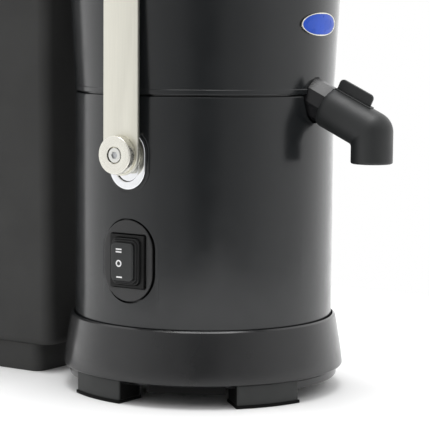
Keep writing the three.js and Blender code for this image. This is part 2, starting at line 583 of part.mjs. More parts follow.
function addPivot(side, name, parent) {
  const ahead = -side;
  const slot = obround(SLOT_WIDTH, SLOT_HEIGHT, PLATE_Z);
  place(`pivot_plate_${name}`, extruded(
    withHole(obround(29, 39, PLATE_Z), slot), BOSS_FACE + GAP, PLATE_FACE), chrome(), parent);

  const seat = extruded(roundedRect(12, 3, 1, 0, SEAT_TOP_Z - 1.5), 66, 84, 1);
  const slider = extruded(obround(BLOCK_WIDTH, BLOCK_HEIGHT, BLOCK_Z), 81, PLATE_FACE - 0.4, 4);
  const pinRoom = disc(PIN_ROOT_R + GAP, 78, 100).translate(0, PIVOT_Z, 0);
  place(`pivot_block_${name}`, cut(join(seat, slider), pinRoom), chrome(), parent);

  const strapOuter = STRAP_INNER + STRAP_THICK;
  place(`pivot_pin_${name}`, turned([
    [3.3, 80], [PIN_ROOT_R, 80], [PIN_ROOT_R, PLATE_FACE + 0.4], [8.5, PLATE_FACE + 0.4],
    [8.5, STRAP_INNER - GAP], [PIN_R, STRAP_INNER - GAP], [PIN_R, strapOuter], [3.3, strapOuter],
  ], SMALL_ROUND).translate(0, PIVOT_Z, 0), brushedSteel(), parent);
  place(`pivot_knob_${name}`, turned([
    [3.3, strapOuter + GAP], [KNOB_R, strapOuter + GAP], [KNOB_R, KNOB_FACE - 0.8],
    [KNOB_R - 0.8, KNOB_FACE], [5.6, KNOB_FACE], [5.6, SCREW_SEAT], [3.3, SCREW_SEAT],
  ], 20).translate(0, PIVOT_Z, 0), brushedSteel(), parent);
  const screw = join(
    disc(5, SCREW_SEAT + GAP, KNOB_FACE - 0.5), disc(3, 84, SCREW_SEAT + 1, 8));
  const socket = disc(2.6, KNOB_FACE - 3, KNOB_FACE + 1, 6);
  place(`pivot_screw_${name}`, cut(screw, socket).translate(0, PIVOT_Z, 0), chrome(), parent);

  const holes = [circle(PIN_R + GAP, 0, PIVOT_Z), circle(3.4, ahead * GRIP_FORWARD, GRIP_Z)];
  const outline = strapOutline(ahead);
  outline.holes.push(...holes);
  place(`bail_strap_${name}`, extruded(outline, STRAP_INNER, strapOuter, 6), brushedSteel(),
    parent);
  place(`bail_lug_${name}`, block([-7, LUG_Z, LUG_INNER], [7, LUG_Z + 10, STRAP_INNER - GAP]),
    mattBlack(), parent);
  const gripScrew = join(disc(6, strapOuter + GAP, strapOuter + 3), disc(2.9, 82, strapOuter + 1, 8));
  const gripSocket = disc(2.5, strapOuter + 1, strapOuter + 5, 6);
  place(`grip_screw_${name}`, cut(gripScrew, gripSocket)
    .translate(ahead * GRIP_FORWARD, GRIP_Z, 0), chrome(), parent);

  // The return spring sits over the block's tail, under the housing's deck.
  const turns = 3;
  const [springLow, springHigh] = [SEAT_TOP_Z + GAP, DECK_Z - GAP];
  const wire = 0.7;
  const helix = [];
  for (let i = 0; i <= turns * 8; i += 1) {
    const angle = 2 * Math.PI * i / 8;
    const height = springLow + wire + (springHigh - springLow - 2 * wire) * i / (turns * 8);
    helix.push(new THREE.Vector3(4 * Math.cos(angle), height, 72 + 4 * Math.sin(angle)));
  }
  const section = new THREE.Shape();
  section.absarc(0, 0, wire, 0, 2 * Math.PI);
  place(`lift_spring_${name}`, new THREE.ExtrudeGeometry(section, {
    steps: turns * 8, curveSegments: 2, bevelEnabled: false,
    extrudePath: new THREE.CatmullRomCurve3(helix) }), brushedSteel(), parent);
}

function addGrip() {
  const half = STRAP_INNER - GAP;
  const bar = turned([
    [3.3, -half], [GRIP_R - 1, -half], [GRIP_R - 1, -half + 14], [GRIP_R, -half + 18],
    [GRIP_R + 1.2, -30], [GRIP_R + 1.2, 30], [GRIP_R, half - 18], [GRIP_R - 1, half - 14],
    [GRIP_R - 1, half], [3.3, half], [3.3, 80], [0, 80], [0, -80], [3.3, -80],
  ], SMALL_ROUND);
  place('bail_grip', bar.rotateY(Math.PI / 2).translate(0, -GRIP_FORWARD, GRIP_Z), mattBlack());
}

// ---------------------------------------------------------------- switch
function addSwitch() {
  const parent = leftSide;
  place('switch_panel', extruded(withHole(
    obround(PANEL_WIDTH, PANEL_HEIGHT, SWITCH_Z),
    roundedRect(BEZEL_WIDTH + 2 * GAP, BEZEL_HEIGHT + 2 * GAP, 0.6, 0, SWITCH_Z)),
  PANEL_BACK, PANEL_FACE), mattBlack(), parent);
  place('switch_bezel', extruded(withHole(
    roundedRect(BEZEL_WIDTH, BEZEL_HEIGHT, 0.5, 0, SWITCH_Z),
    roundedRect(BOOT_WIDTH + 2 * GAP, BOOT_HEIGHT + 2 * GAP, 3.9, 0, SWITCH_Z)),
  PANEL_BACK, BEZEL_FACE, 2), glossBlack(), parent);
  const boot = extruded(withHole(
    roundedRect(BOOT_WIDTH, BOOT_HEIGHT, 3.6, 0, SWITCH_Z),
    roundedRect(18.6, 27.5, 2, 0, SWITCH_Z)), PANEL_BACK, BOOT_FACE, 2);
  place('switch_boot', boot, rubber(), parent);
  const body = join(
    extruded(roundedRect(25.4, 32.4, 0.6, 0, SWITCH_Z), 62, PANEL_BACK - GAP, 1),
    ...[-10, 0, 10].map(z => block([-3, SWITCH_Z + z - 0.4, 57], [3, SWITCH_Z + z + 0.4, 64])));
  const well = extruded(roundedRect(18.6, 26, 1, 0, SWITCH_Z), 74, 90, 1);
  place('switch_body', cut(body, well), mattBlack(), parent);

  // A narrow stem carries the wide cap, so that either end can be pushed in over the boot.
  const [stem, cap, brim] = [10.5, 12.7, ROCKER_FACE - 2];
  const side = new THREE.Shape([
    [-stem, 78], [stem, 78], [stem, brim], [cap, brim], [cap, ROCKER_FACE - 0.6],
    [cap - 1.2, ROCKER_FACE], [0, ROCKER_FACE - 0.5], [1.2 - cap, ROCKER_FACE],
    [-cap, ROCKER_FACE - 0.6], [-cap, brim], [-stem, brim],
  ].map(([z, d]) => new THREE.Vector2(d, z)));
  const rocker = extruded(side, -8.8, 8.8)
    .applyMatrix4(new THREE.Matrix4().makeBasis(new THREE.Vector3(0, 0, 1),
      new THREE.Vector3(0, 1, 0), new THREE.Vector3(-1, 0, 0)));
  place('switch_rocker', rocker.translate(0, SWITCH_Z, 0), glossBlack(), parent);
}

// ---------------------------------------------------------------- pulp bin
// A rounded box that narrows towards the floor; inset moves every wall inwards.
const binMiddle = (BIN_BACK_Y + BIN_FRONT_Y) / 2;
const binLength = BIN_BACK_Y - BIN_FRONT_Y;

function binBody(inset, low, high, corner) {
  const outline = roundedRect(
    BIN_TOP_WIDTH - 2 * inset, binLength - 2 * inset, corner, 0, binMiddle);
  const solid = extruded(outline, low, high, 3);
  const position = solid.attributes.position;
  for (let i = 0; i < position.count; i += 1) {
    const share = (BIN_TOP_Z - position.getZ(i)) / BIN_TOP_Z;
    const narrowing = 1 - share * (BIN_TOP_WIDTH - BIN_BOTTOM_WIDTH) / BIN_TOP_WIDTH;
    position.setX(i, position.getX(i) * narrowing);
  }
  return solid;
}

function addBin() {
  const outside = binBody(0, BIN_PLINTH_Z, BIN_TOP_Z, 9);
  const plinth = extruded(roundedRect(84, binLength - 26, 8, 0, binMiddle), 0,
    BIN_PLINTH_Z + 1, 2);
  const rim = binBody(-2.4, BIN_TOP_Z - 5, BIN_TOP_Z, 11);
  const hollow = binBody(BIN_WALL, BIN_PLINTH_Z + 3, BIN_TOP_Z + 2, 7);
  const underside = extruded(roundedRect(79, binLength - 31, 6, 0, binMiddle), -1,
    BIN_PLINTH_Z, 2);
  place('pulp_bin', cut(join(outside, plinth, rim), hollow, underside), mattBlack());
}

// ---------------------------------------------------------------- assembly
addBase();
FOOT_ANGLES.forEach((angle, i) => addFoot(angle, i + 1));
addGland();
addHousing();
addMotor();
addBowl();
addSpout();
addBadge();
addBasket();
addNozzle();
addLid();
addChute();
addDuct();
addPusher();
addPivot(-1, 'left', leftSide);
addPivot(1, 'right', rightSide);
addGrip();
addSwitch();
addBin();

// The machine is modelled about the drum axis, then moved so that its footprint is centred.
machine.updateMatrixWorld(true);
const footprint = new THREE.Box3().setFromObject(machine, true);
machine.position.y = -(footprint.min.y + footprint.max.y) / 2;

const juicer = new THREE.Group();
juicer.add(machine);
export default juicer;
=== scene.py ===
import math

import bmesh
import bpy
from mathutils import Matrix, Vector


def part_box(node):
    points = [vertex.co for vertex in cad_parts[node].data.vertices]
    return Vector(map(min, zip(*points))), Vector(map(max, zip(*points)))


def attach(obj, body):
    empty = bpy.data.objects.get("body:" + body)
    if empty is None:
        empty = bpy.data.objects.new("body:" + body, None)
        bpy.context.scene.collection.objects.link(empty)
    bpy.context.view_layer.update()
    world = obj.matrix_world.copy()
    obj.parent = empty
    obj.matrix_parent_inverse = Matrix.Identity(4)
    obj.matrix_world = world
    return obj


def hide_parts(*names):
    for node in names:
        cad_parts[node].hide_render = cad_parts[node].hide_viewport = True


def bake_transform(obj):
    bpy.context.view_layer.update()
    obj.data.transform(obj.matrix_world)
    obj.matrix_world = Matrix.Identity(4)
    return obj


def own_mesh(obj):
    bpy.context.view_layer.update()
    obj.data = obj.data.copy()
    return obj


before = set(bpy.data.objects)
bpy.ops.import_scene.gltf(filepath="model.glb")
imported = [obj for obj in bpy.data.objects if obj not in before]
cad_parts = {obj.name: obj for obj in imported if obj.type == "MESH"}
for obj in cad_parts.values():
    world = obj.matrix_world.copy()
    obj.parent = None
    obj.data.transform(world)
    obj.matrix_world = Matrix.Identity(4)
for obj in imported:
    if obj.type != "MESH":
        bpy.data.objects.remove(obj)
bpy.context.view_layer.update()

# ---- the frame's measures
# Every piece is modelled in millimetres about the drum's axis, then moved into the row frame.
_low, _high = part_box("motor_housing")
AXIS = Vector(((_low.x + _high.x) / 2, (_low.y + _high.y) / 2, 0))
TO_ROW = Matrix.Translation(AXIS) @ Matrix.Scale(0.001, 4)


def span(node):
    """Lowest and highest corner of a CAD node, in millimetres about the drum's axis."""
    low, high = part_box(node)
    return (low - AXIS) * 1000, (high - AXIS) * 1000


def middle(node, axis):
    """Middle of a CAD node along "x", "y" or "z"."""
    low, high = span(node)
    return (low["xyz".index(axis)] + high["xyz".index(axis)]) / 2


HOUSING_R = span("motor_housing")[1].y
HOUSING_LOW = span("motor_housing")[0].z
SEAM_Z = span("motor_housing")[1].z
BOWL_BOTTOM = SEAM_Z + 0.6
BOWL_TOP = span("juice_bowl")[1].z
BOWL_FLOOR = span("juice_bowl")[0].z
BOWL_SLOPE, BOWL_WALL = 0.051, 2.5
BOWL_BORE = 84.4
SKIRT_TOP = span("base_skirt")[1].z
SKIRT_R = span("base_skirt")[1].y
WEB_Z = span("bottom_plate")[0].z
LIP_R, LIP_TOP = 94, 14                 # the dark lip under the skirt
FOOT_ANGLES = (-28, -106, 152, 74)      # from the spout, towards +X
FOOT_IN, FOOT_OUT = 72, 95.5
FOOT_HALF = 14.25                       # half a foot's length, in degrees round the axis
GLAND_Z, GLAND_ANGLE = 31, 45           # the cord gland points between +X and +Y
HOUSING_WALL = 2.6
SLOT_SIZE, BOSS_SIZE = (18, 28.5), (33, 43)     # round each pivot
PLATE_Z = middle("pivot_plate_left", "z")
PIVOT_Z = middle("pivot_pin_left", "z")
SPRING_LOW = span("lift_spring_left")[0].z
PLATE_FACE = -span("pivot_plate_left")[0].x
BOSS_FACE = -span("pivot_plate_left")[1].x - 0.3
STRAP_OUT = -span("bail_strap_left")[0].x
STRAP_IN = -span("bail_strap_left")[1].x
KNOB_FACE = -span("pivot_knob_left")[0].x
STRAP_BEND_Z = 298
GRIP_Z = middle("bail_grip", "z")
GRIP_Y = middle("bail_grip", "y")
SWITCH_Z = middle("switch_panel", "z")
PANEL_OPENING = (28.1, 35.8, 0.6)       # width, height and corner
PANEL_SHIFT = -0.4                      # the oval sits this far off the opening's middle
PANEL_FACE = -span("switch_panel")[0].x
BEZEL_FACE = -span("switch_bezel")[0].x
ROCKER_FACE = -span("switch_rocker")[0].x
CHUTE_Y = middle("feed_chute", "y")
CHUTE_TOP = span("feed_chute")[1].z
CHUTE_BORE, CHUTE_R = 34, 36.5
LID_R = span("lid")[1].x
LID_TOP = span("lid")[1].z
BADGE_Z = middle("badge", "z")
TILT = math.radians(25)                 # the spout slopes down by this much
NOZZLE_RIM = Vector((0, -99.8, 197.8))
NOZZLE_R, NOZZLE_BORE, NOZZLE_LEG = 14, 11, 36.8
BEND_ROOM = 13                          # the elbow's bend reaches this far along each leg
OUTLET_Z = span("spout_nozzle")[0].z
FINEST, FINE = 288, 192                 # steps round the drum, and round what is inside it
SOFT_EDGE = 28                          # sharper edges than this many degrees stay sharp


# ---- shape tools
def rounded(points, steps=6):
    """A closed outline whose corners (x, y, radius) are rounded."""
    out, count = [], len(points)
    for i, point in enumerate(points):
        here = Vector(point[:2])
        radius = point[2] if len(point) > 2 else 0
        before, after = Vector(points[i - 1][:2]), Vector(points[(i + 1) % count][:2])
        u, v = before - here, after - here
        half = u.angle(v) / 2
        if radius <= 0 or half > 1.5:
            out.append(tuple(here))
            continue
        reach = min(radius / math.tan(half), 0.499 * u.length, 0.499 * v.length)
        radius = reach * math.tan(half)
        centre = here + (u.normalized() + v.normalized()).normalized() * radius / math.sin(half)
        start = here + u.normalized() * reach - centre
        turn = start.angle_signed(here + v.normalized() * reach - centre)
        for k in range(steps + 1):
            angle = -turn * k / steps
            c, s = math.cos(angle), math.sin(angle)
            out.append((centre.x + c * start.x - s * start.y,
                        centre.y + s * start.x + c * start.y))
    return out


def arc(x, y, radius, start, end, steps):
    """Points along an arc about (x, y), from one angle to another in radians."""
    return [(x + radius * math.cos(start + (end - start) * i / steps),
             y + radius * math.sin(start + (end - start) * i / steps)) for i in range(steps + 1)]


def circle(radius, x=0.0, y=0.0, count=48):
    return arc(x, y, radius, 0, 2 * math.pi, count)[:-1]


def rectangle(width, height, corner, x=0.0, y=0.0, steps=8):
    w, h = width / 2, height / 2
    return rounded([(x + w, y - h, corner), (x + w, y + h, corner), (x - w, y + h, corner),
                    (x - w, y - h, corner)], steps)


def obround(width, height, x=0.0, y=0.0):
    """An upright oval with straight sides."""
    top = arc(0, y + (height - width) / 2, width / 2, 0, math.pi, 28)
    return [(x + px, py) for px, py in top + [(-px, 2 * y - py) for px, py in top]]


def tidy(mesh):
    """Merges doubled points and turns the faces outwards."""
    bm = bmesh.new()
    bm.from_mesh(mesh)
    bmesh.ops.remove_doubles(bm, verts=bm.verts, dist=1e-4)
    bmesh.ops.dissolve_degenerate(bm, edges=bm.edges, dist=1e-5)
    bmesh.ops.recalc_face_normals(bm, faces=bm.faces)
    bm.to_mesh(mesh)
    bm.free()
    return mesh


def mesh_of(verts, faces, matrix=None):
    mesh = bpy.data.meshes.new("part")
    mesh.from_pydata([tuple(v) for v in verts], [], faces)
    if matrix is not None:
        mesh.transform(matrix)
    return tidy(mesh)


def revolve(outline, matrix=None, segments=FINE):
    """Turns a closed outline of (radius, z) about the Z axis."""
    n, verts, faces = len(outline), [], []
    for j in range(segments):
        angle = 2 * math.pi * j / segments
        verts += [(r * math.cos(angle), r * math.sin(angle), z) for r, z in outline]
    for j in range(segments):
        k = (j + 1) % segments
        for i in range(n):
            m = (i + 1) % n
            if outline[i][0] > 1e-6 or outline[m][0] > 1e-6:
                faces.append((j * n + i, j * n + m, k * n + m, k * n + i))
    return mesh_of(verts, faces, matrix)


def skin(rings, closed=False, matrix=None):
    """Joins equal rings of points into one surface; a row that isn't closed gets end caps."""
    n, verts, faces = len(rings[0]), [p for ring in rings for p in ring], []
    for j in range(len(rings) if closed else len(rings) - 1):
        k = (j + 1) % len(rings)
        for i in range(n):
            m = (i + 1) % n
            faces.append((j * n + i, j * n + m, k * n + m, k * n + i))
    if not closed:
        faces.append(tuple(range(n)))
        faces.append(tuple(range((len(rings) - 1) * n, len(rings) * n)))
    return mesh_of(verts, faces, matrix)


def evaluated(obj):
    """The object's mesh with its modifiers applied."""
    graph = bpy.context.evaluated_depsgraph_get()
    graph.update()
    return bpy.data.meshes.new_from_object(obj.evaluated_get(graph), depsgraph=graph)


def prism(outlines, low, high, bevel=0.0, matrix=None):
    """A plate with the first outline as its edge, the others as its holes, and eased edges."""
    curve = bpy.data.curves.new("plate", "CURVE")
    curve.dimensions = "2D"
    curve.fill_mode = "BOTH"
    curve.extrude = (high - low) / 2 - bevel
    curve.bevel_depth = bevel
    curve.bevel_resolution = 3
    curve.offset = -bevel
    for outline in outlines:
        spline = curve.splines.new("POLY")
        spline.points.add(len(outline) - 1)
        spline.points.foreach_set("co", [c for x, y in outline for c in (x, y, 0, 1)])
        spline.use_cyclic_u = True
    obj = bpy.data.objects.new("plate", curve)
    bpy.context.scene.collection.objects.link(obj)
    mesh = evaluated(obj)
    bpy.data.objects.remove(obj)
    bpy.data.curves.remove(curve)
    mesh.transform(Matrix.Translation((0, 0, (low + high) / 2)))
    if matrix is not None:
        mesh.transform(matrix)
    return tidy(mesh)


def boolean(mesh, cutters, operation="DIFFERENCE"):
    target = bpy.data.objects.new("target", mesh)
    bpy.context.scene.collection.objects.link(target)
    used = []
    for cutter in cutters:
        obj = bpy.data.objects.new("cutter", cutter)
        bpy.context.scene.collection.objects.link(obj)
        obj.hide_render = True
        modifier = target.modifiers.new("cut", "BOOLEAN")
        modifier.operation, modifier.object, modifier.solver = operation, obj, "EXACT"
        used.append(obj)
    result = evaluated(target)
    for obj in [target, *used]:
        bpy.data.objects.remove(obj)
    return tidy(result)


def union(mesh, others):
    return boolean(mesh, others, "UNION")


def piece(name, mesh, body, material, replaces=(), sharp=32):
    """Makes a mesh in millimetres one of the model's pieces."""
    mesh.transform(TO_ROW)
    mesh.name = name
    mesh.polygons.foreach_set("use_smooth", [True] * len(mesh.polygons))
    mesh.set_sharp_from_angle(angle=math.radians(sharp))
    mesh.materials.clear()
    mesh.materials.append(material)
    obj = bpy.data.objects.new(name, mesh)
    bpy.context.scene.collection.objects.link(obj)
    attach(obj, body)
    if replaces:
        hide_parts(*replaces)
    return obj


def side_frame(side):
    """x to the right as seen from outside, y up, z outwards from the mid-plane."""
    return Matrix(((0, 0, side, 0), (side, 0, 0, 0), (0, 1, 0, 0), (0, 0, 0, 1)))


def lifted(matrix, y=0.0, x=0.0):
    """The same frame, moved by x and y in its own plane."""
    return matrix @ Matrix.Translation((x, y, 0))


# Faces the spout: x across, y up, z towards the spout.
SPOUT_SIDE = Matrix(((1, 0, 0, 0), (0, 0, -1, 0), (0, 1, 0, 0), (0, 0, 0, 1)))

# Along the spout: x across, y up its slope's normal, z outwards from the nozzle's rim.
SPOUT_DIR = Vector((0, -math.cos(TILT), -math.sin(TILT)))
SPOUT_UP = Vector((0, -math.sin(TILT), math.cos(TILT)))
_across = SPOUT_UP.cross(SPOUT_DIR)
SPOUT = Matrix.Translation(NOZZLE_RIM) @ Matrix((
    (_across.x, SPOUT_UP.x, SPOUT_DIR.x, 0), (_across.y, SPOUT_UP.y, SPOUT_DIR.y, 0),
    (_across.z, SPOUT_UP.z, SPOUT_DIR.z, 0), (0, 0, 0, 1)))


def arc_outline(inner, outer, start, end, corner=0.0):
    """An arc-shaped plate round the drum's axis; angles from the spout towards +X."""
    a, b = math.radians(start - 90), math.radians(end - 90)
    steps = 24
    points = arc(0, 0, outer, a, b, steps) + arc(0, 0, inner, b, a, steps)
    if corner:
        ends = (0, steps, steps + 1, 2 * steps + 1)
        points = rounded([(*p, corner if i in ends else 0) for i, p in enumerate(points)], 4)
    return points


# ---- materials
def new_node(tree, kind, **settings):
    node = tree.nodes.new(kind)
    for key, value in settings.items():
        setattr(node, key, value)
    return node


class Nodes:
    """A material whose shader is fed by procedural nodes."""

    def __init__(self, name, **values):
        self.material = bpy.data.materials.new(name)
        self.material.use_nodes = True
        self.tree = self.material.node_tree
        self.shader = self.tree.nodes["Principled BSDF"]
        self.place = self.add("ShaderNodeTexCoord").outputs["Object"]
        for key, value in values.items():
            self.shader.inputs[key.replace("_", " ")].default_value = value

    def add(self, kind, **settings):
        return new_node(self.tree, kind, **settings)

    def link(self, output, to):
        self.tree.links.new(output, to)

    def mapped(self, scale, location=(0, 0, 0)):
        node = self.add("ShaderNodeMapping")
        node.inputs["Scale"].default_value = scale
        node.inputs["Location"].default_value = location
        self.link(self.place, node.inputs["Vector"])
        return node.outputs["Vector"]

    def noise(self, size, detail=3, stretch=(1, 1, 1)):
        """Noise whose features are about size metres across."""
        node = self.add("ShaderNodeTexNoise")
        node.inputs["Scale"].default_value = 1
        node.inputs["Detail"].default_value = detail
        self.link(self.mapped([s / size for s in stretch]), node.inputs["Vector"])
        return node.outputs["Fac"]

    def ranged(self, factor, low, high):
        """Spreads the middle of a noise from low to high."""
        node = self.add("ShaderNodeMapRange")
        for key, value in (("From Min", 0.3), ("From Max", 0.7), ("To Min", low),
                           ("To Max", high)):
            node.inputs[key].default_value = value
        self.link(factor, node.inputs["Value"])
        return node.outputs["Result"]

    def mixed(self, factor, first, second):
        """Blends two colours over the middle of a noise."""
        node = self.add("ShaderNodeValToRGB")
        ramp = node.color_ramp.elements
        ramp[0].position, ramp[1].position = 0.35, 0.65
        ramp[0].color, ramp[1].color = (*first, 1), (*second, 1)
        self.link(factor, node.inputs["Fac"])
        return node.outputs["Color"]

    def bumped(self, heights):
        """Stacks pairs of a height and its depth in metres into one normal."""
        normal = None
        for height, depth in heights:
            node = self.add("ShaderNodeBump")
            node.inputs["Strength"].default_value = 1
            node.inputs["Distance"].default_value = depth
            self.link(height, node.inputs["Height"])
            if normal is not None:
                self.link(normal, node.inputs["Normal"])
            normal = node.outputs["Normal"]
        self.link(normal, self.shader.inputs["Normal"])

    def colour(self, output):
        self.link(output, self.shader.inputs["Base Color"])

    def rough(self, output):
        self.link(output, self.shader.inputs["Roughness"])


def tinted(base, share):
    return tuple(c * share for c in base)


def plastic(name, base, roughness, grain, depth, **values):
    """Moulded plastic: a fine spark-eroded grain, faint flow mottling, uneven gloss."""
    m = Nodes(name, **values)
    m.colour(m.mixed(m.noise(0.03, 4), tinted(base, 0.95), tinted(base, 1.06)))
    m.rough(m.ranged(m.noise(0.012, 5), roughness - 0.035, roughness + 0.035))
    m.bumped([(m.noise(grain, 2), depth), (m.noise(0.03, 2), 0.00002)])
    return m.material


def brushed(name, base, roughness, stretch, size=0.0004):
    """Brushed metal: long fine lines along the axis whose stretch is small."""
    m = Nodes(name, Metallic=1.0)
    lines = m.noise(size, 4, stretch)
    m.colour(m.mixed(lines, tinted(base, 0.965), tinted(base, 1.025)))
    m.rough(m.ranged(m.noise(size * 2, 3, stretch), roughness - 0.04, roughness + 0.04))
    m.bumped([(lines, 0.000006)])
    return m.material


def turned(name, base, roughness, centre_y, centre_z):
    """Face-turned metal: fine rings about an axis along X."""
    m = Nodes(name, Metallic=1.0)
    flat = m.mapped((0, 1, 1), (0, -centre_y, -centre_z))
    length = m.add("ShaderNodeVectorMath", operation="LENGTH")
    m.link(flat, length.inputs[0])
    rings = m.add("ShaderNodeTexNoise", noise_dimensions="1D")
    rings.inputs["Scale"].default_value = 3500
    rings.inputs["Detail"].default_value = 3
    m.link(length.outputs["Value"], rings.inputs["W"])
    m.colour(m.mixed(rings.outputs["Fac"], tinted(base, 0.92), tinted(base, 1.05)))
    m.rough(m.ranged(m.noise(0.003, 4), roughness - 0.05, roughness + 0.06))
    m.bumped([(rings.outputs["Fac"], 0.00001)])
    return m.material


def polished(name, base, roughness):
    """Plated metal: nearly a mirror, with a trace of polishing haze."""
    m = Nodes(name, Metallic=1.0)
    m.colour(m.mixed(m.noise(0.008, 3), tinted(base, 0.97), tinted(base, 1.02)))
    m.rough(m.ranged(m.noise(0.004, 5), roughness * 0.6, roughness * 1.5))
    m.bumped([(m.noise(0.006, 2), 0.00001)])
    return m.material


def cast(name, base, roughness):
    """Cast metal: pitted and uneven in gloss."""
    m = Nodes(name, Metallic=0.9)
    m.colour(m.mixed(m.noise(0.004, 5), tinted(base, 0.8), tinted(base, 1.1)))
    m.rough(m.ranged(m.noise(0.003, 4), roughness - 0.08, roughness + 0.1))
    m.bumped([(m.noise(0.0007, 3), 0.00006)])
    return m.material


def laminated(name, base):
    """A stack of steel sheets seen on its edge."""
    m = Nodes(name, Metallic=0.8)
    sheets = m.noise(0.0006, 1, (0, 0, 1))
    m.colour(m.mixed(sheets, tinted(base, 0.7), tinted(base, 1.2)))
    m.rough(m.ranged(m.noise(0.004, 4), 0.4, 0.6))
    m.bumped([(sheets, 0.00008)])
    return m.material


def enamel(name, base):
    """Thick paint fired onto metal."""
    m = Nodes(name, Specular_IOR_Level=0.2)
    m.colour(m.mixed(m.noise(0.01, 3), tinted(base, 0.92), tinted(base, 1.08)))
    m.rough(m.ranged(m.noise(0.005, 4), 0.25, 0.35))
    m.bumped([(m.noise(0.004, 2), 0.00001)])
    return m.material


def ink(name, base):
    """Printing ink on plastic, a little worn."""
    m = Nodes(name)
    m.colour(m.mixed(m.noise(0.0006, 3), tinted(base, 0.9), tinted(base, 1.02)))
    m.rough(m.ranged(m.noise(0.0008, 3), 0.5, 0.65))
    m.bumped([(m.noise(0.0003, 2), 0.00001)])
    return m.material


STEEL = (0.72, 0.705, 0.625)
SATIN = plastic("satin_black", (0.0115, 0.0128, 0.0138), 0.21, 0.0006, 0.000003)
MATTE = plastic("matte_black", (0.017, 0.0172, 0.0178), 0.42, 0.0007, 0.00003)
BIN = plastic("bin_black", (0.044, 0.044, 0.043), 0.65, 0.0009, 0.00004,
              Specular_IOR_Level=0.2)
FOOT = plastic("foot_black", (0.019, 0.0205, 0.02), 0.6, 0.0006, 0.00002)
RUBBER = plastic("soft_rubber", (0.0115, 0.0128, 0.0132), 0.48, 0.0005, 0.00001)
# Near-black rubber for the soles, gland and seals; also the painted shade on the lip recess, the
# foot ends and under the switch panel.
SOLE_AND_SHADE = plastic("sole_rubber_and_painted_shade", (0.003, 0.003, 0.003), 0.75, 0.0008, 0.00003,
               Specular_IOR_Level=0.15)
BEZEL = plastic("bezel_black", (0.005, 0.005, 0.005), 0.5, 0.0006, 0.00002,
                Specular_IOR_Level=0.25)
BOOT = plastic("boot_rubber", (0.009, 0.009, 0.0095), 0.5, 0.0005, 0.00002,
               Specular_IOR_Level=0.35)
SKIRT = plastic("skirt_black", (0.013, 0.0133, 0.014), 0.22, 0.0006, 0.000003)
GLOSS = plastic("gloss_black", (0.011, 0.011, 0.012), 0.2, 0.002, 0.000004,
                Specular_IOR_Level=0.35)
BRUSHED = brushed("strap_steel", STEEL, 0.36, (1, 1, 0.012), 0.0003)
BASKET = brushed("basket_steel", STEEL, 0.3, (1, 1, 0.2))
RIM = brushed("rim_steel", STEEL, 0.25, (1, 1, 1), 0.001)
KNOB = turned("turned_steel", (0.79, 0.775, 0.705), 0.26, AXIS.y, PIVOT_Z / 1000)
CHROME = polished("chrome_plate", (0.86, 0.87, 0.89), 0.07)
SCREW = turned("screw_steel", (0.72, 0.72, 0.69), 0.3, AXIS.y, PIVOT_Z / 1000)
CAST = cast("cast_aluminium", (0.55, 0.56, 0.58), 0.45)
MOTOR = laminated("motor_steel", (0.2, 0.21, 0.22))
BLUE = enamel("blue_enamel", (0.012, 0.08, 0.55))
WHITE = ink("white_ink", (0.82, 0.82, 0.82))


# ---- base and feet
def gland_frame():
    return (Matrix.Translation((0, 0, GLAND_Z))
            @ Matrix.Rotation(math.radians(GLAND_ANGLE), 4, "Z")
            @ Matrix.Rotation(math.pi / 2, 4, "Y"))


def lip_ring(inner, outer, bottom):
    outline = [(inner, bottom, 0.4), (outer, bottom, 0.7), (outer, LIP_TOP), (inner, LIP_TOP)]
    return revolve(rounded(outline), segments=FINEST)


def lip_gaps(stretches):
    """Cutters that take the lip away between pairs of angles."""
    return [prism([arc_outline(80, 104, start, end)], 5, 20) for start, end in stretches]


def build_base():
    outline = rounded([
        (LIP_R - 2, 13.2), (SKIRT_R, 16.2, 1.1), (SKIRT_R - 1, 25, 30), (93.9, 46.2, 0.5),
        (93.1, 50.3, 0.4), (91.8, SKIRT_TOP, 0.3), (91.2, SKIRT_TOP, 0.1), (90.3, 48),
        (90.3, 44.7), (88.6, 44.7), (91.5, 40), (95.2, 18.5), (68, 18.5), (68, WEB_Z),
        (LIP_R - 2, WEB_Z)])
    gland = revolve([(0, 60), (8.3, 60), (8.3, 120), (0, 120)], gland_frame(), 64)
    skirt = boolean(revolve(outline, segments=FINEST), [gland])
    piece("base_skirt_shell", skirt, "base", SKIRT, ["base_skirt"])

    # Beside each foot the lip is cut away further on the side that faces its neighbour.
    pockets = []
    for angle, rooms in zip(FOOT_ANGLES, ((4.2, 0.5), (0.5, 12), (4.2, 0.5), (0.5, 12))):
        pockets.append(prism([arc_outline(
            FOOT_IN - 0.6, SKIRT_R + 6, angle - FOOT_HALF - rooms[0],
            angle + FOOT_HALF + rooms[1])], 6, 13.2))
    ahead_left, back_left, back_right, ahead_right = FOOT_ANGLES
    ends = lip_gaps(((ahead_left, ahead_right), (back_right, back_left + 360)))
    sides = lip_gaps(((back_left, ahead_left), (ahead_right, back_right)))
    rim = boolean(lip_ring(LIP_R - 2.5, LIP_R, 9), pockets)
    piece("base_lip", boolean(rim, sides), "base", SKIRT)
    # Between the feet of one side the lip stands back, and its near-black colour paints the shade
    # under the skirt there.
    recess = boolean(lip_ring(89.5, 92.6, 9.2), [*pockets, *ends])
    piece("base_lip_painted_shade", recess, "base", SOLE_AND_SHADE)


def build_gland():
    ribs = []
    for start in (103.2, 104.6, 106.0):
        ribs += [(7.6, start, 0.1), (7.6, start + 0.8, 0.1), (6.7, start + 0.9),
                 (6.7, start + 1.3)]
    outline = rounded([(4, 89), (8, 89), (8, 98.9), (11, 98.9, 0.4), (11, 101, 0.8), (8, 103, 0.5),
                       *ribs, (7, 107.9, 0.5), (4, 107.9, 0.5)], 4)
    piece("cord_gland_ribbed", revolve(outline, gland_frame(), 64), "base",
          SOLE_AND_SHADE, ["cord_gland"])


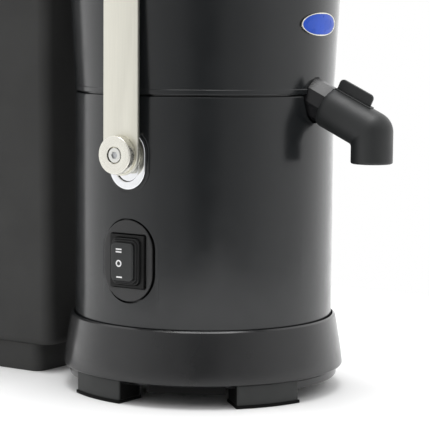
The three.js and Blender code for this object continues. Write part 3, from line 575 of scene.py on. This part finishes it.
def build_feet():
    screw_r = (FOOT_IN + FOOT_OUT) / 2
    for number, angle in enumerate(FOOT_ANGLES, 1):
        turn = math.radians(angle)
        bore = circle(5.6, screw_r * math.sin(turn), -screw_r * math.cos(turn), 32)
        pad = prism([arc_outline(FOOT_IN, FOOT_OUT, angle - FOOT_HALF, angle + FOOT_HALF, 1.6),
                     bore], 1.9, WEB_Z - 0.3, 0.35)
        piece(f"foot_pad_{number}", pad, "base", FOOT, [f"foot_{number}"])
        # Each end of a foot gets a thin near-black sheet that paints the shade on the foot's end
        # face.
        for end in (-1, 1):
            edge = angle + end * FOOT_HALF
            shade_sheet = prism([arc_outline(FOOT_IN + 2, FOOT_OUT - 1.3, edge - 0.25, edge + 0.25, 0.4)],
                        2.6, WEB_Z - 1)
            piece(f"foot_web_{number}_{'left' if end < 0 else 'right'}", shade_sheet, "base",
                  SOLE_AND_SHADE)
        sole = prism([arc_outline(FOOT_IN - 0.9, FOOT_OUT + 0.9, angle - FOOT_HALF - 0.5,
                                  angle + FOOT_HALF + 0.5, 2.2), bore], 0, 2, 0.3)
        piece(f"foot_sole_{number}", sole, "base", SOLE_AND_SHADE)


# ---- housing
def spout_outline(room=0.0, corner=0.7):
    """The spout's section, wider by room all round."""
    scale = 1 + room / 11.6     # its mean half width
    right = [(2.8, 13.4), (9.8, 7.6), (12.2, -0.5), (9.2, -8.6), (3.2, -12.4)]
    points = right + [(-x, y) for x, y in reversed(right)]
    return rounded([(x * scale, y * scale, corner) for x, y in points], 4)


def build_housing():
    inner = HOUSING_R - HOUSING_WALL
    shell = revolve(rounded([
        (inner, HOUSING_LOW), (HOUSING_R, HOUSING_LOW, 0.3), (HOUSING_R, SEAM_Z - 0.2, 1.1),
        (inner, SEAM_Z - 0.2), (inner, 185), (26, 185), (26, 182.5), (inner, 182.5)]),
        segments=FINEST)
    outside = HOUSING_R + 6     # beyond everything that is cut from outside
    additions, flats, cutters = [], [], []
    for side in (-1, 1):
        around = side_frame(side)
        boss = obround(*BOSS_SIZE, y=PLATE_Z)
        additions.append(prism([boss], 83, BOSS_FACE, 0.5, around))
        flats.append(prism([boss], BOSS_FACE, outside, 0, around))
        cutters.append(prism([obround(*SLOT_SIZE, y=PLATE_Z)], 78, outside, 0, around))
    left = side_frame(-1)
    additions.append(prism([obround(46, 62, y=SWITCH_Z)], 82.5, 87.4, 0.6, left))
    pocket = prism([obround(40.9, 57)], 84.6, outside, 0, lifted(left, SWITCH_Z, 0.15))
    well = prism([rectangle(26, 33, 1, 0, SWITCH_Z)], 70, 90, 0, left)
    notch = prism([spout_outline(1.8, 1.4)], -34, 24, 0, SPOUT)
    slot = prism([rectangle(28.1, 30, 0.8, 0, SEAM_Z + 12)], 70, outside, 0, SPOUT_SIDE)
    body = union(boolean(shell, flats), additions)
    body = boolean(body, [*cutters, pocket, well, notch, slot])
    piece("motor_housing_shell", body, "base", SATIN,
          ["motor_housing"], SOFT_EDGE)


# ---- bowl, spout, badge
def bowl_radius(z):
    """The bowl widens slightly towards its top."""
    return HOUSING_R + BOWL_SLOPE * (z - SEAM_Z - 0.3)


def build_bowl():
    band = BOWL_BOTTOM + 3.7
    shell = revolve(rounded([
        (14, BOWL_FLOOR), (86.9, BOWL_FLOOR, 1), (86.9, BOWL_BOTTOM + 0.2),
        (bowl_radius(BOWL_BOTTOM) + 0.35, BOWL_BOTTOM + 0.2, 0.5),
        (bowl_radius(band) + 0.35, band - 0.3, 0.25), (bowl_radius(band), band, 0.2),
        (bowl_radius(BOWL_TOP), BOWL_TOP, 0.6), (bowl_radius(BOWL_TOP) - BOWL_WALL, BOWL_TOP, 0.6),
        (bowl_radius(212) - BOWL_WALL, 212), (BOWL_BORE, 206),
        (BOWL_BORE, BOWL_FLOOR + BOWL_WALL, 2), (17, BOWL_FLOOR + BOWL_WALL, 1),
        (17, 204, 0.8), (14, 204, 0.8)]), segments=FINEST)
    hole = prism([spout_outline(0.35, 1.1)], -34, 5, 0, SPOUT)
    piece("juice_bowl_shell", boolean(shell, [hole]), "base", SATIN,
          ["juice_bowl"], SOFT_EDGE)


def build_spout():
    tube = prism([spout_outline()], -24, -0.3, 0.25, SPOUT)
    spigot = revolve([(0, -6), (10.7, -6), (10.7, 15.5), (10.2, 16), (0, 16)], SPOUT, 96)
    inside = revolve([(0, 150), (BOWL_BORE, 150), (BOWL_BORE, 250), (0, 250)])
    bore = revolve([(0, -40), (8.8, -40), (8.8, 20), (0, 20)], SPOUT, 96)
    body = boolean(union(tube, [spigot]), [bore, inside])
    piece("bowl_spout_tube", body, "base", GLOSS, ["bowl_spout"], 24)


def elbow_path(radius, c, start, drop, fillet):
    """Points (along, outward) down a line of the elbow; c is +1 inside the bend, -1 outside."""
    bend, steps = math.pi / 2 - TILT, 14
    half = bend / 2
    first = [start + (NOZZLE_LEG - BEND_ROOM - start) * i / 8 for i in range(9)]
    reach = abs(c) * radius
    points = [(along, -c * radius) for along in first]
    if c > 0:
        ease = fillet * min(1, c / 0.5) ** 2 + 1e-3
        corner = (NOZZLE_LEG - reach * math.tan(half), -reach)
        centre = (corner[0] - ease * math.tan(half), -reach - ease)
        points += [(centre[0] + ease * math.sin(half * i / steps),
                    centre[1] + ease * math.cos(half * i / steps)) for i in range(steps + 1)]
    else:
        points += [(NOZZLE_LEG + reach * math.sin(half * i / steps),
                    reach * math.cos(half * i / steps)) for i in range(steps + 1)]
    # The second leg mirrors the first about the mitre plane through the elbow's centre.
    normal = Vector((math.cos(half), -math.sin(half)))
    centre = Vector((NOZZLE_LEG, 0))
    mirrored = []
    for p in reversed(points[9:-1]):
        p = Vector(p)
        mirrored.append(tuple(p - 2 * (p - centre).dot(normal) * normal))
    leg = Vector((math.cos(bend), -math.sin(bend)))
    outward = Vector((math.sin(bend), math.cos(bend)))
    end = [centre + leg * (BEND_ROOM + (drop - BEND_ROOM) * i / 8) - outward * c * radius
           for i in range(9)]
    return points + mirrored + [tuple(p) for p in end]


def elbow_rings(radius, start, drop, fillet):
    """Rings across the elbow, from its rim to its outlet."""
    columns, count = [], 96
    for i in range(count):
        angle = 2 * math.pi * i / count
        side = radius * math.sin(angle)
        columns.append([(side, out, along) for along, out in elbow_path(
            radius, math.cos(angle), start, drop, fillet)])
    return [[column[j] for column in columns] for j in range(len(columns[0]))]


def build_nozzle():
    elbow_z = NOZZLE_RIM.z - NOZZLE_LEG * math.sin(TILT)
    drop = elbow_z - OUTLET_Z
    outer_r = NOZZLE_R - 0.05
    outside = elbow_rings(outer_r, 0.9, drop - 1.2, 3)
    inside = elbow_rings(NOZZLE_BORE, 0.9, drop - 1.0, 1.5)

    def rim_ring(radius, along):
        return [(x, y, along) for x, y, _ in elbow_rings(radius, 0, drop, 2)[0]]

    def outlet_ring(radius, beyond):
        bend = math.pi / 2 - TILT
        leg = Vector((0, -math.sin(bend), math.cos(bend)))
        return [tuple(Vector(p) + leg * beyond) for p in elbow_rings(radius, 5, drop, 2)[-1]]

    rim = [rim_ring(outer_r - 0.3, 0.25), rim_ring(outer_r - 0.9, 0),
           rim_ring(NOZZLE_BORE + 0.6, 0), rim_ring(NOZZLE_BORE + 0.1, 0.4)]
    outlet = [outlet_ring(outer_r - 0.15, -0.75), outlet_ring(outer_r - 0.5, -0.3),
              outlet_ring(outer_r - 1.2, 0), outlet_ring(NOZZLE_BORE + 0.6, 0),
              outlet_ring(NOZZLE_BORE + 0.1, -0.5)]
    rings = outside + outlet + inside[::-1] + rim[::-1]
    body = skin(rings, closed=True, matrix=SPOUT)
    piece("spout_elbow", body, "nozzle", RUBBER, ["spout_nozzle"], 40)
    upright = SPOUT @ Matrix(((0, 0, 1, 0), (0, 1, 0, 0), (1, 0, 0, 0), (0, 0, 0, 1)))
    fin = rounded([(0.9, 13.1, 0.2), (0.9, 22, 3), (28.1, 22, 3), (28.1, 13.1, 0.2)], 8)
    piece("spout_fin", prism([fin], -1.05, 1.05, 0.45, upright), "nozzle",
          RUBBER)
    foot = rounded([(0.3, 12.8, 0.2), (0.3, 14.6, 0.5), (29.8, 14.6, 0.5), (29.8, 12.8, 0.2)], 4)
    piece("spout_fin_foot", prism([foot], -2.8, 2.8, 0.4, upright), "nozzle",
          RUBBER)


def build_badge():
    """A plain enamelled oval in a thin steel rim, wrapped on the bowl above the spout."""
    half_w, half_h, count = 21.3, 7.8, 128

    def wrapped(profile):
        """Rings of the oval, moved in and raised by each pair of the profile."""
        rings = []
        for move, height in profile:
            ring = []
            for i in range(count):
                angle = 2 * math.pi * i / count
                u, v = half_w * math.cos(angle), half_h * math.sin(angle)
                scale = 1 + move / math.hypot(u, v)
                u, v = u * scale, v * scale
                radius = bowl_radius(BADGE_Z + v) + height
                turn = u / bowl_radius(BADGE_Z)
                ring.append((radius * math.sin(turn), -radius * math.cos(turn), BADGE_Z + v))
            rings.append(ring)
        return rings

    rim = wrapped([(0, 0.3), (0, 1.1), (-0.15, 1.35), (-0.4, 1.45), (-0.8, 1.4), (-1.0, 1.15),
                   (-1.0, 0.3)])
    piece("badge_rim", skin(rim, closed=True), "base", RIM, ["badge"])
    field = wrapped([(-0.9, 0.3), (-0.9, 1.1), (-1.6, 1.2), (-3, 1.25), (-5, 1.28), (-6.5, 1.3)])
    piece("badge_field", skin(field), "base", BLUE)


# ---- lid, chute, duct, pusher
def at_chute():
    return Matrix.Translation((0, CHUTE_Y, 0))


def build_lid():
    low, rim, under = 288, 292.3, 323.4
    dome = revolve(rounded([
        (83.9, low), (91.4, low, 0.5), (91.4, rim), (LID_R, rim, 0.6), (LID_R, 297, 0.9),
        (86.5, 297.5, 1.6), (85.2, LID_TOP, 14.6), (62, LID_TOP, 0.4), (61.4, under + 2, 0.4),
        (0, under + 2), (0, under), (70.5, under, 12), (82.8, 311)], 10), segments=256)
    pads = []
    for side in (-1, 1):
        top = 303.2 - PIVOT_Z
        arc = [(top * math.sin(math.radians(a)), PIVOT_Z + top * math.cos(math.radians(a)))
               for a in (-3.7, -2, 0, 2, 3.7)]
        pads.append(prism([[(-9, 294), (9, 294), *reversed(arc)]], 84, 95, 0.4,
                          side_frame(side)))
    hole = revolve([(0, 300), (36.9, 300), (36.9, 340), (0, 340)], at_chute(), 96)
    window = prism([rectangle(58, 17, 2, 0, 309.5)], -100, -60, 0, SPOUT_SIDE)
    body = boolean(union(dome, pads), [hole, window])
    piece("lid_shell", body, "base", SATIN, ["lid"], SOFT_EDGE)


def build_chute():
    flange = LID_TOP + 4
    outline = rounded([
        (CHUTE_BORE, 232, 0.6), (CHUTE_R, 232, 0.6), (CHUTE_R, LID_TOP + 0.3),
        (40.5, LID_TOP + 0.3, 0.3), (40.5, flange - 0.7, 0.8), (37.4, flange, 1.2),
        (CHUTE_R, flange + 2.5, 1.5), (CHUTE_R, 391, 1.5), (40, 393, 1.2), (40, CHUTE_TOP, 1),
        (CHUTE_BORE, CHUTE_TOP, 1)])
    ribs = []
    for angle in (45, 135, 225, 315):
        rib = rounded([(35, flange - 1), (40, flange - 1, 0.3), (37, flange + 16, 4),
                       (35, flange + 16)], 4)
        turn = Matrix.Rotation(math.radians(angle), 4, "Z") @ SPOUT_SIDE
        ribs.append(prism([rib], -1, 1, 0.3, at_chute() @ turn))
    body = union(revolve(outline, at_chute(), 160), ribs)
    piece("feed_chute_tube", body, "base", SATIN, ["feed_chute"],
          SOFT_EDGE)


def build_duct():
    low, high = span("pulp_duct")
    half, wall = high.x, 2.4
    lying = side_frame(1)
    outside = prism([rounded([(70, low.z), (high.y, low.z), (high.y, 322, 14), (70, 322.9, 2)],
                             12)], -half, half, 2.2, lying)
    end = high.y - wall
    inner = [(68, 301), (108, 301), (108, low.z - 4), (end, low.z - 4), (end, 319.6, 11.6),
             (68, 320.4)]
    hollow = prism([rounded(inner, 10)], -half + wall, half - wall, 0.8, lying)
    bottom = prism([[(60, 290), (190, 290), (190, low.z + 0.02), (60, low.z + 0.02)]],
                   -half - 5, half + 5, 0, lying)
    lid_room = revolve(rounded([
        (0, 290), (97, 290), (97, 298, 0.5), (87.1, 298.4, 0.8), (85.9, 327, 15.2), (60, 330),
        (0, 330)], 8))
    body = boolean(outside, [hollow, lid_room, bottom])
    ribs = [prism([rounded([(118, 321), (168, 321), (166, 323, 0.4), (120, 323, 0.4)], 3)],
                  x - 1, x + 1, 0.3, lying) for x in (-24, 24)]
    body = union(body, ribs)
    piece("pulp_duct_cover", body, "base", SATIN, ["pulp_duct"],
          SOFT_EDGE)


def build_pusher():
    top = span("pusher_cap")[1].z
    flange = CHUTE_TOP + 0.3
    radius, grooves = 32.8, []
    for z in range(268, 369, 20):
        grooves += [(radius, z - 1.6, 0.3), (radius - 0.6, z - 1, 0.3),
                    (radius - 0.6, z + 1, 0.3), (radius, z + 1.6, 0.3)]
    outline = rounded([
        (0, 248), (radius, 248, 2.4), *grooves, (radius, flange), (42, flange, 0.8),
        (42, flange + 5.2, 2), (30, flange + 8.5, 5),
        (25, flange + 20, 9), (27, top - 8, 0.6), (24.5, top - 8), (22.5, flange + 20),
        (30.3, flange - 6), (30.3, 251), (0, 251)])
    piece("pusher_body", revolve(outline, at_chute(), 160), "pusher",
          SATIN, ["pusher"], SOFT_EDGE)
    cap = rounded([
        (0, top - 12), (22, top - 12, 0.4), (24, top - 7.7), (28.5, top - 7.7, 0.7),
        (28.5, top - 2.6, 1.8), (24.6, top, 2.5), (15, top, 1.5), (12.5, top - 0.8, 1.5),
        (0, top - 0.8)])
    piece("pusher_top", revolve(cap, at_chute(), 160), "pusher", GLOSS,
          ["pusher_cap"], SOFT_EDGE)


# ---- bail and pivots
def strap_outline():
    """The left strap seen from outside: upright, then leaning towards the spout."""
    r = span("bail_strap_left")[1].y
    ahead = -GRIP_Y
    lean = math.atan2(ahead, GRIP_Z - STRAP_BEND_Z)
    knee = STRAP_BEND_Z - r * math.tan(lean / 2)
    # The last point only closes the outline that is rounded at the knee.
    points = rounded([(r, knee - 8), (r, knee, 18),
                      (r + 8 * math.sin(lean), knee + 8 * math.cos(lean)), (0, 400)], 8)[:-1]
    points += arc(ahead, GRIP_Z, r, -lean, math.pi - lean, 24)
    points += arc(0, STRAP_BEND_Z, r, math.pi - lean, math.pi, 8)
    points += arc(0, PIVOT_Z, r, math.pi, 2 * math.pi, 32)
    return points


def hex_prism(across, low, high, matrix):
    return prism([circle(across / math.sqrt(3), count=6)], low, high, 0, matrix)


def build_pivots():
    for side, name in ((-1, "left"), (1, "right")):
        around = side_frame(side)
        at_pin = lifted(around, PIVOT_Z)
        ahead = -side
        base = [f"pivot_{kind}_{name}" for kind in ("plate", "block", "pin", "knob", "screw")]
        plate = prism([obround(28.8, 38.8, y=PLATE_Z), obround(*SLOT_SIZE, y=PLATE_Z)],
                      BOSS_FACE + 0.25, PLATE_FACE, 0.55, around)
        piece(f"{base[0]}_chrome", plate, "base", CHROME, [base[0]], 40)
        block = prism([obround(17.2, 26.2, y=PLATE_Z - 0.8), circle(5.4, 0, PIVOT_Z)],
                      84, PLATE_FACE - 0.9, 0.5, around)
        seat = prism([rectangle(12, 3, 1, 0, SPRING_LOW - 1.8)], 66, 85, 0.2, around)
        piece(f"{base[1]}_slider", union(block, [seat]), "carriage", CHROME,
              [base[1]], 40)
        pin = revolve(rounded([
            (3.3, 80), (5, 80), (5, PLATE_FACE - 0.4), (8.5, PLATE_FACE - 0.4, 0.4),
            (8.5, STRAP_IN - 0.3, 0.4), (6.2, STRAP_IN - 0.3), (6.2, STRAP_OUT),
            (3.3, STRAP_OUT)]), at_pin, 96)
        piece(f"{base[2]}_turned", pin, "carriage", KNOB, [base[2]])
        knob = revolve(rounded([
            (3.3, STRAP_OUT + 0.3), (12.7, STRAP_OUT + 0.3, 0.35), (12.7, KNOB_FACE, 0.7),
            (5.7, KNOB_FACE, 0.3), (5.7, 101.3), (3.3, 101.3)]), at_pin, 144)
        piece(f"{base[3]}_turned", knob, "carriage", KNOB, [base[3]])
        head = revolve(rounded([
            (0, 84), (3, 84), (3, 101.6), (4.95, 101.6), (4.95, KNOB_FACE - 0.35, 0.5),
            (0, KNOB_FACE - 0.35)]), at_pin, 96)
        socket = hex_prism(4.4, KNOB_FACE - 2.4, 110, at_pin)
        piece(f"{base[4]}_socket", boolean(head, [socket]), "carriage",
              SCREW, [base[4]])
        floor = prism([circle(2.45, count=6)], KNOB_FACE - 2.9, KNOB_FACE - 1.5, 0, at_pin)
        piece(f"{base[4]}_recess", floor, "carriage", CAST)

        outline = [(ahead * x, y) for x, y in strap_outline()]
        holes = [circle(6.5, 0, PIVOT_Z), circle(3.4, ahead * -GRIP_Y, GRIP_Z, 32)]
        strap = prism([outline, *holes], STRAP_IN, STRAP_OUT, 0.3, around)
        piece(f"bail_strap_{name}_steel", strap, "bail", BRUSHED,
              [f"bail_strap_{name}"], 40)
        lug = prism([rectangle(14, 10, 2.2, 0, 308.5)], 88.7, STRAP_IN - 0.3, 0.6, around)
        piece(f"bail_lug_{name}_pad", lug, "bail", MATTE,
              [f"bail_lug_{name}"])
        at_grip = lifted(around, GRIP_Z, ahead * -GRIP_Y)
        screw = revolve(rounded([
            (0, 82), (2.9, 82), (2.9, STRAP_OUT + 0.3), (6, STRAP_OUT + 0.3, 0.3),
            (5.2, STRAP_OUT + 3, 1.6), (0, STRAP_OUT + 3)]), at_grip, 72)
        socket = hex_prism(4, STRAP_OUT + 1, STRAP_OUT + 6, at_grip)
        piece(f"grip_screw_{name}_socket", boolean(screw, [socket]), "bail",
              CHROME, [f"grip_screw_{name}"])


def build_springs():
    """The return springs against the housing's deck, wound at their resting length."""
    low, high = (end.z for end in span("lift_spring_left"))
    wire, coil, turns, steps, lift = 0.62, 4, 5, 32, 1.5
    count = turns * steps
    for side, name in ((-1, "left"), (1, "right")):
        rings = []
        for i in range(count + 1):
            turn = 2 * math.pi * i / steps
            height = low + wire + (high - low - 2 * wire) * i / count
            ring = []
            for k in range(12):
                angle = 2 * math.pi * k / 12
                radius = coil + wire * math.cos(angle)
                ring.append((radius * math.cos(turn), height + wire * math.sin(angle),
                             72 + radius * math.sin(turn)))
            rings.append(ring)
        spring = piece(f"lift_spring_{name}_coil", skin(rings, matrix=side_frame(side)), "base",
                       BASKET, [f"lift_spring_{name}"], 50)
        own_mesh(spring)


def build_grip():
    half, wave, count = STRAP_IN - 0.3, 31, 36
    swells = []
    for k in range(-count, count + 1):
        x = 2 * wave * k / count
        swells.append((8.35 + 0.7 * math.cos(2 * math.pi * x / wave), x))
    outline = [(3.3, -half), (6.6, -half), (7, -half + 0.5), (7, -half + 14), (7.8, -half + 17),
               (7.8, -68), *swells, (7.8, 68), (7.8, half - 17), (7, half - 14), (7, half - 0.5),
               (6.6, half), (3.3, half), (3.3, 80), (0, 80), (0, -80), (3.3, -80)]
    across = Matrix.Translation((0, GRIP_Y, GRIP_Z)) @ Matrix.Rotation(math.pi / 2, 4, "Y")
    piece("bail_grip_moulded", revolve(outline, across, 72), "bail",
          RUBBER, ["bail_grip"])


# ---- switch
def build_switch():
    left, seat = side_frame(-1), 85.8
    opening = rectangle(*PANEL_OPENING, 0, SWITCH_Z)
    panel = prism([obround(39.1, 55, PANEL_SHIFT, SWITCH_Z), opening],
                  PANEL_FACE, PANEL_FACE + 1.6, 0.7, left)
    piece("switch_panel_plate", panel, "base", MATTE, ["switch_panel"])
    # A near-black gasket under the plate paints the shade on the plate's side and in the groove
    # round it.
    shade_gasket = prism([obround(38.5, 54.4, PANEL_SHIFT, SWITCH_Z), opening],
                   seat, PANEL_FACE, 0, left)
    piece("switch_panel_gasket_painted_shade", shade_gasket, "base", SOLE_AND_SHADE)
    bezel = prism([rectangle(27.4, 35.1, 0.5, 0, SWITCH_Z),
                   rectangle(22.2, 31.6, 3.9, 0, SWITCH_Z)], seat, BEZEL_FACE, 0.3, left)
    piece("switch_bezel_frame", bezel, "base", BEZEL, ["switch_bezel"])

    def ring(half_width, half_height, corner, depth):
        return [(x, y + SWITCH_Z, depth) for x, y in
                rectangle(2 * half_width, 2 * half_height, corner, 0, 0, 6)]

    # The rubber boot climbs in two rounded folds from the bezel to the rocker's cap.
    face = ROCKER_FACE
    folds = [
        (9.4, 13.8, 2.2, 86), (10.7, 15.4, 3.6, 86), (10.8, 15.5, 3.6, face - 4.5),
        (10.65, 15.35, 3.5, face - 4.0), (10.2, 14.9, 3.3, face - 3.8),
        (9.95, 14.5, 3.2, face - 4.0), (9.9, 14.3, 3.2, face - 3.8),
        (9.9, 14.2, 3.2, face - 2.6), (9.75, 14.05, 3.1, face - 2.1),
        (9.4, 13.7, 3.0, face - 1.95), (9.1, 13.3, 3.0, face - 2.15),
        (8.6, 12.4, 2.8, face - 2.1), (8.4, 12.1, 2.6, face - 2.9), (8.7, 13.0, 2.6, face - 4.8),
        (9.2, 13.6, 2.4, face - 6)]
    boot = piece("switch_boot_folds", skin([ring(*fold) for fold in folds], closed=True,
                                           matrix=left), "base", BOOT,
                 ["switch_boot"])
    boot.parent = None
    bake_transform(boot)

    rings = [ring(*shape) for shape in (
        (8.0, 10.3, 2.0, 78.2), (8.0, 10.3, 2.0, face - 2.3), (8.5, 12.2, 2.6, face - 2.1),
        (8.75, 12.5, 2.9, face - 1.85), (8.8, 12.65, 3.0, face - 0.9),
        (8.65, 12.5, 2.9, face - 0.35), (8.3, 12.15, 2.7, face - 0.12),
        (7.6, 11.5, 2.4, face - 0.06))]
    piece("switch_rocker_cap", skin(rings, matrix=left), "rocker",
          RUBBER, ["switch_rocker"], 50)

    def mark(name, outlines):
        piece(name, prism(outlines, face - 0.5, face, 0.02, lifted(left, SWITCH_Z)),
              "rocker", WHITE)

    for number, y in enumerate((8.4, 6.6), 1):
        mark(f"mark_two_{number}", [rectangle(4.7, 0.95, 0.2, -2.4, y)])
    mark("mark_off", [circle(2.35, -2.4, -1.1), circle(1.35, -2.4, -1.1)])
    mark("mark_one", [rectangle(4.7, 0.95, 0.2, -1.9, -10.2)])


# ---- pulp bin
def build_bin():
    low, high = span("pulp_bin")
    centre_y = middle("pulp_bin", "y")
    rim_z = high.z
    wall = 2.4
    half_x, half_y = 50, (high.y - low.y) / 2 - wall
    plinth, shoulder = 20, 6        # the plinth's height and the round above it
    under_rim = 286

    def plain(z, width, length, corner):
        return [(x, y, z) for x, y in rectangle(2 * width, 2 * length, corner, 0, centre_y, 10)]

    def ring(z, inset, corner):
        """A ring of the bin's tapered wall, moved inwards by inset."""
        taper = 1 - 0.08 * (rim_z - z) / rim_z
        return plain(z, (half_x - inset) * taper, half_y - inset, corner)

    rings = [plain(*shape) for shape in (
        (2, 36, 62, 4), (2, 39.4, 66.4, 6), (0.3, 40, 67, 6.5), (0, 40.6, 67.6, 7),
        (0, 41.4, 68.4, 7.6), (0.6, 42, 69, 8), (plinth, 42, 69, 8))]
    for k in range(7):
        angle = math.pi / 2 * k / 6
        rings.append(ring(plinth + shoulder * (1 - math.cos(angle)),
                          shoulder * (1 - math.sin(angle)), 9))
    side_low = plinth + shoulder
    rings += [ring(side_low + (under_rim - side_low) * k / 8, 0, 9) for k in range(1, 9)]
    rings += [ring(*shape) for shape in (
        (286.8, -0.4, 9.4), (287.2, -2.0, 11), (287.7, -wall, 11), (291.4, -wall, 11),
        (rim_z, -1.9, 10.6), (rim_z, 1.9, 7.4), (291.4, wall, 7))]
    rings += [ring(30 + 255 * k / 8, wall, 7) for k in range(7, -1, -1)]
    rings += [ring(25, 3.6, 6.4), ring(23.2, 6.5, 6)]
    piece("pulp_bin_shell", skin(rings), "bin", BIN, ["pulp_bin"], 35)


# ---- carried-over nodes
CARRIED = {
    MATTE: ("switch_body", "cooling_fan"),
    SOLE_AND_SHADE: ("bottom_plate", "shaft_seal"),
    BASKET: ("sieve_basket", "grating_disc", "clamp_nut", "motor_shaft"),
    CHROME: ("bearing_upper", "bearing_lower"),
    CAST: ("motor_bracket_upper", "motor_bracket_lower", "drive_hub", "run_capacitor"),
    MOTOR: ("motor_stator", "motor_rotor", "foot_screw_1", "foot_screw_2", "foot_screw_3",
            "foot_screw_4"),
}


def paint_carried():
    """Paints the CAD nodes that stay, and checks that none is left out."""
    for material, nodes in CARRIED.items():
        for node in nodes:
            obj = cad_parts[node]
            for slot in obj.material_slots:
                slot.material = material
    bare = [name for name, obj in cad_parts.items()
            if not obj.hide_render and not any(name in nodes for nodes in CARRIED.values())]
    assert not bare, bare


# ---- studio
CAMERA_PLACE = Vector((-1.0402, -0.7016, 0.2512))   # from the foot of the drum's axis
CAMERA_TURNS = (0.355, 6.023, 0.449)                # yaw, pitch and roll in degrees
CAMERA_LENS = 150.1
ROOM_FRONT = (-0.829, -0.559, 0)                    # where the room is darkest


def build_studio():
    reach = 460
    floor = mesh_of([(-reach, -reach, 0), (reach, -reach, 0), (reach, reach, 0),
                     (-reach, reach, 0)], [(0, 1, 2, 3)])
    floor.transform(TO_ROW)
    m = Nodes("floor_paper", Roughness=0.95, Specular_IOR_Level=0.1)
    m.colour(m.mixed(m.noise(0.4, 2), (0.93, 0.93, 0.93), (0.95, 0.95, 0.95)))
    floor.materials.append(m.material)
    obj = bpy.data.objects.new("studio_floor", floor)
    bpy.context.scene.collection.objects.link(obj)

    world = bpy.data.worlds.new("studio")
    bpy.context.scene.world = world
    world.use_nodes = True
    tree = world.node_tree
    background = tree.nodes["Background"]
    background.inputs["Strength"].default_value = 1.0

    # The room is darkest in front of the machine and brightest behind it.
    front = new_node(tree, "ShaderNodeVectorMath", operation="DOT_PRODUCT")
    front.inputs[1].default_value = ROOM_FRONT
    place = new_node(tree, "ShaderNodeTexCoord").outputs["Generated"]
    tree.links.new(place, front.inputs[0])
    share = new_node(tree, "ShaderNodeMapRange")
    share.inputs["From Min"].default_value = -1
    tree.links.new(front.outputs["Value"], share.inputs["Value"])
    room = new_node(tree, "ShaderNodeValToRGB")
    stops = ((0, 1.6), (0.2, 1.5), (0.35, 1.3), (0.5, 1.1), (0.69, 1.0), (0.8, 0.85),
             (0.9, 0.6), (0.975, 0.42), (1, 0.1))
    ramp = room.color_ramp.elements
    for _ in stops[2:]:
        ramp.new(0.5)
    for element, (position, level) in zip(ramp, stops):
        element.position = position
        element.color = (level, level, level, 1)
    tree.links.new(share.outputs["Result"], room.inputs["Fac"])
    # The camera itself sees a white backdrop.
    rays = new_node(tree, "ShaderNodeLightPath")
    backdrop = new_node(tree, "ShaderNodeMix", data_type="RGBA")
    tree.links.new(rays.outputs["Is Camera Ray"], backdrop.inputs[0])
    tree.links.new(room.outputs["Color"], backdrop.inputs[6])
    backdrop.inputs[7].default_value = (1, 1, 1, 1)
    tree.links.new(backdrop.outputs[2], background.inputs["Color"])

    light = bpy.data.lights.new("top_softbox", "AREA")
    light.shape = "RECTANGLE"
    light.size = light.size_y = 0.9
    light.energy = 16
    lamp = bpy.data.objects.new("top_softbox", light)
    bpy.context.scene.collection.objects.link(lamp)
    overhead = Vector((-0.1, 0, 1.7))
    lamp.location = AXIS + overhead
    lamp.rotation_euler = (-overhead).to_track_quat("-Z", "Y").to_euler()


def build_camera():
    """The photo's viewpoint."""
    eye = AXIS + CAMERA_PLACE
    right = Vector((0.5592, -0.8290, 0))
    ahead = Vector((0.8290, 0.5592, 0))
    up = Vector((0, 0, 1))
    yaw, pitch, roll = (math.radians(a) for a in CAMERA_TURNS)
    look = (right * math.sin(yaw) + ahead * math.cos(yaw)) * math.cos(pitch) - up * math.sin(pitch)
    across = look.cross(up).normalized()
    top = across.cross(look)
    x_axis = across * math.cos(roll) + top * math.sin(roll)
    y_axis = top * math.cos(roll) - across * math.sin(roll)
    camera = bpy.data.objects.new("camera", bpy.data.cameras.new("camera"))
    bpy.context.scene.collection.objects.link(camera)
    camera.data.sensor_width = 36
    camera.data.lens = CAMERA_LENS
    camera.data.clip_end = 60
    rotation = Matrix((x_axis, y_axis, -look)).transposed().to_4x4()
    camera.matrix_world = Matrix.Translation(eye) @ rotation
    bpy.context.scene.camera = camera
    bpy.context.scene.view_settings.view_transform = "Standard"


build_camera()
build_studio()
build_base()
build_gland()
build_feet()
build_housing()
build_bowl()
build_spout()
build_nozzle()
build_badge()
build_lid()
build_chute()
build_duct()
build_pusher()
build_pivots()
build_springs()
build_grip()
build_switch()
build_bin()
paint_carried()
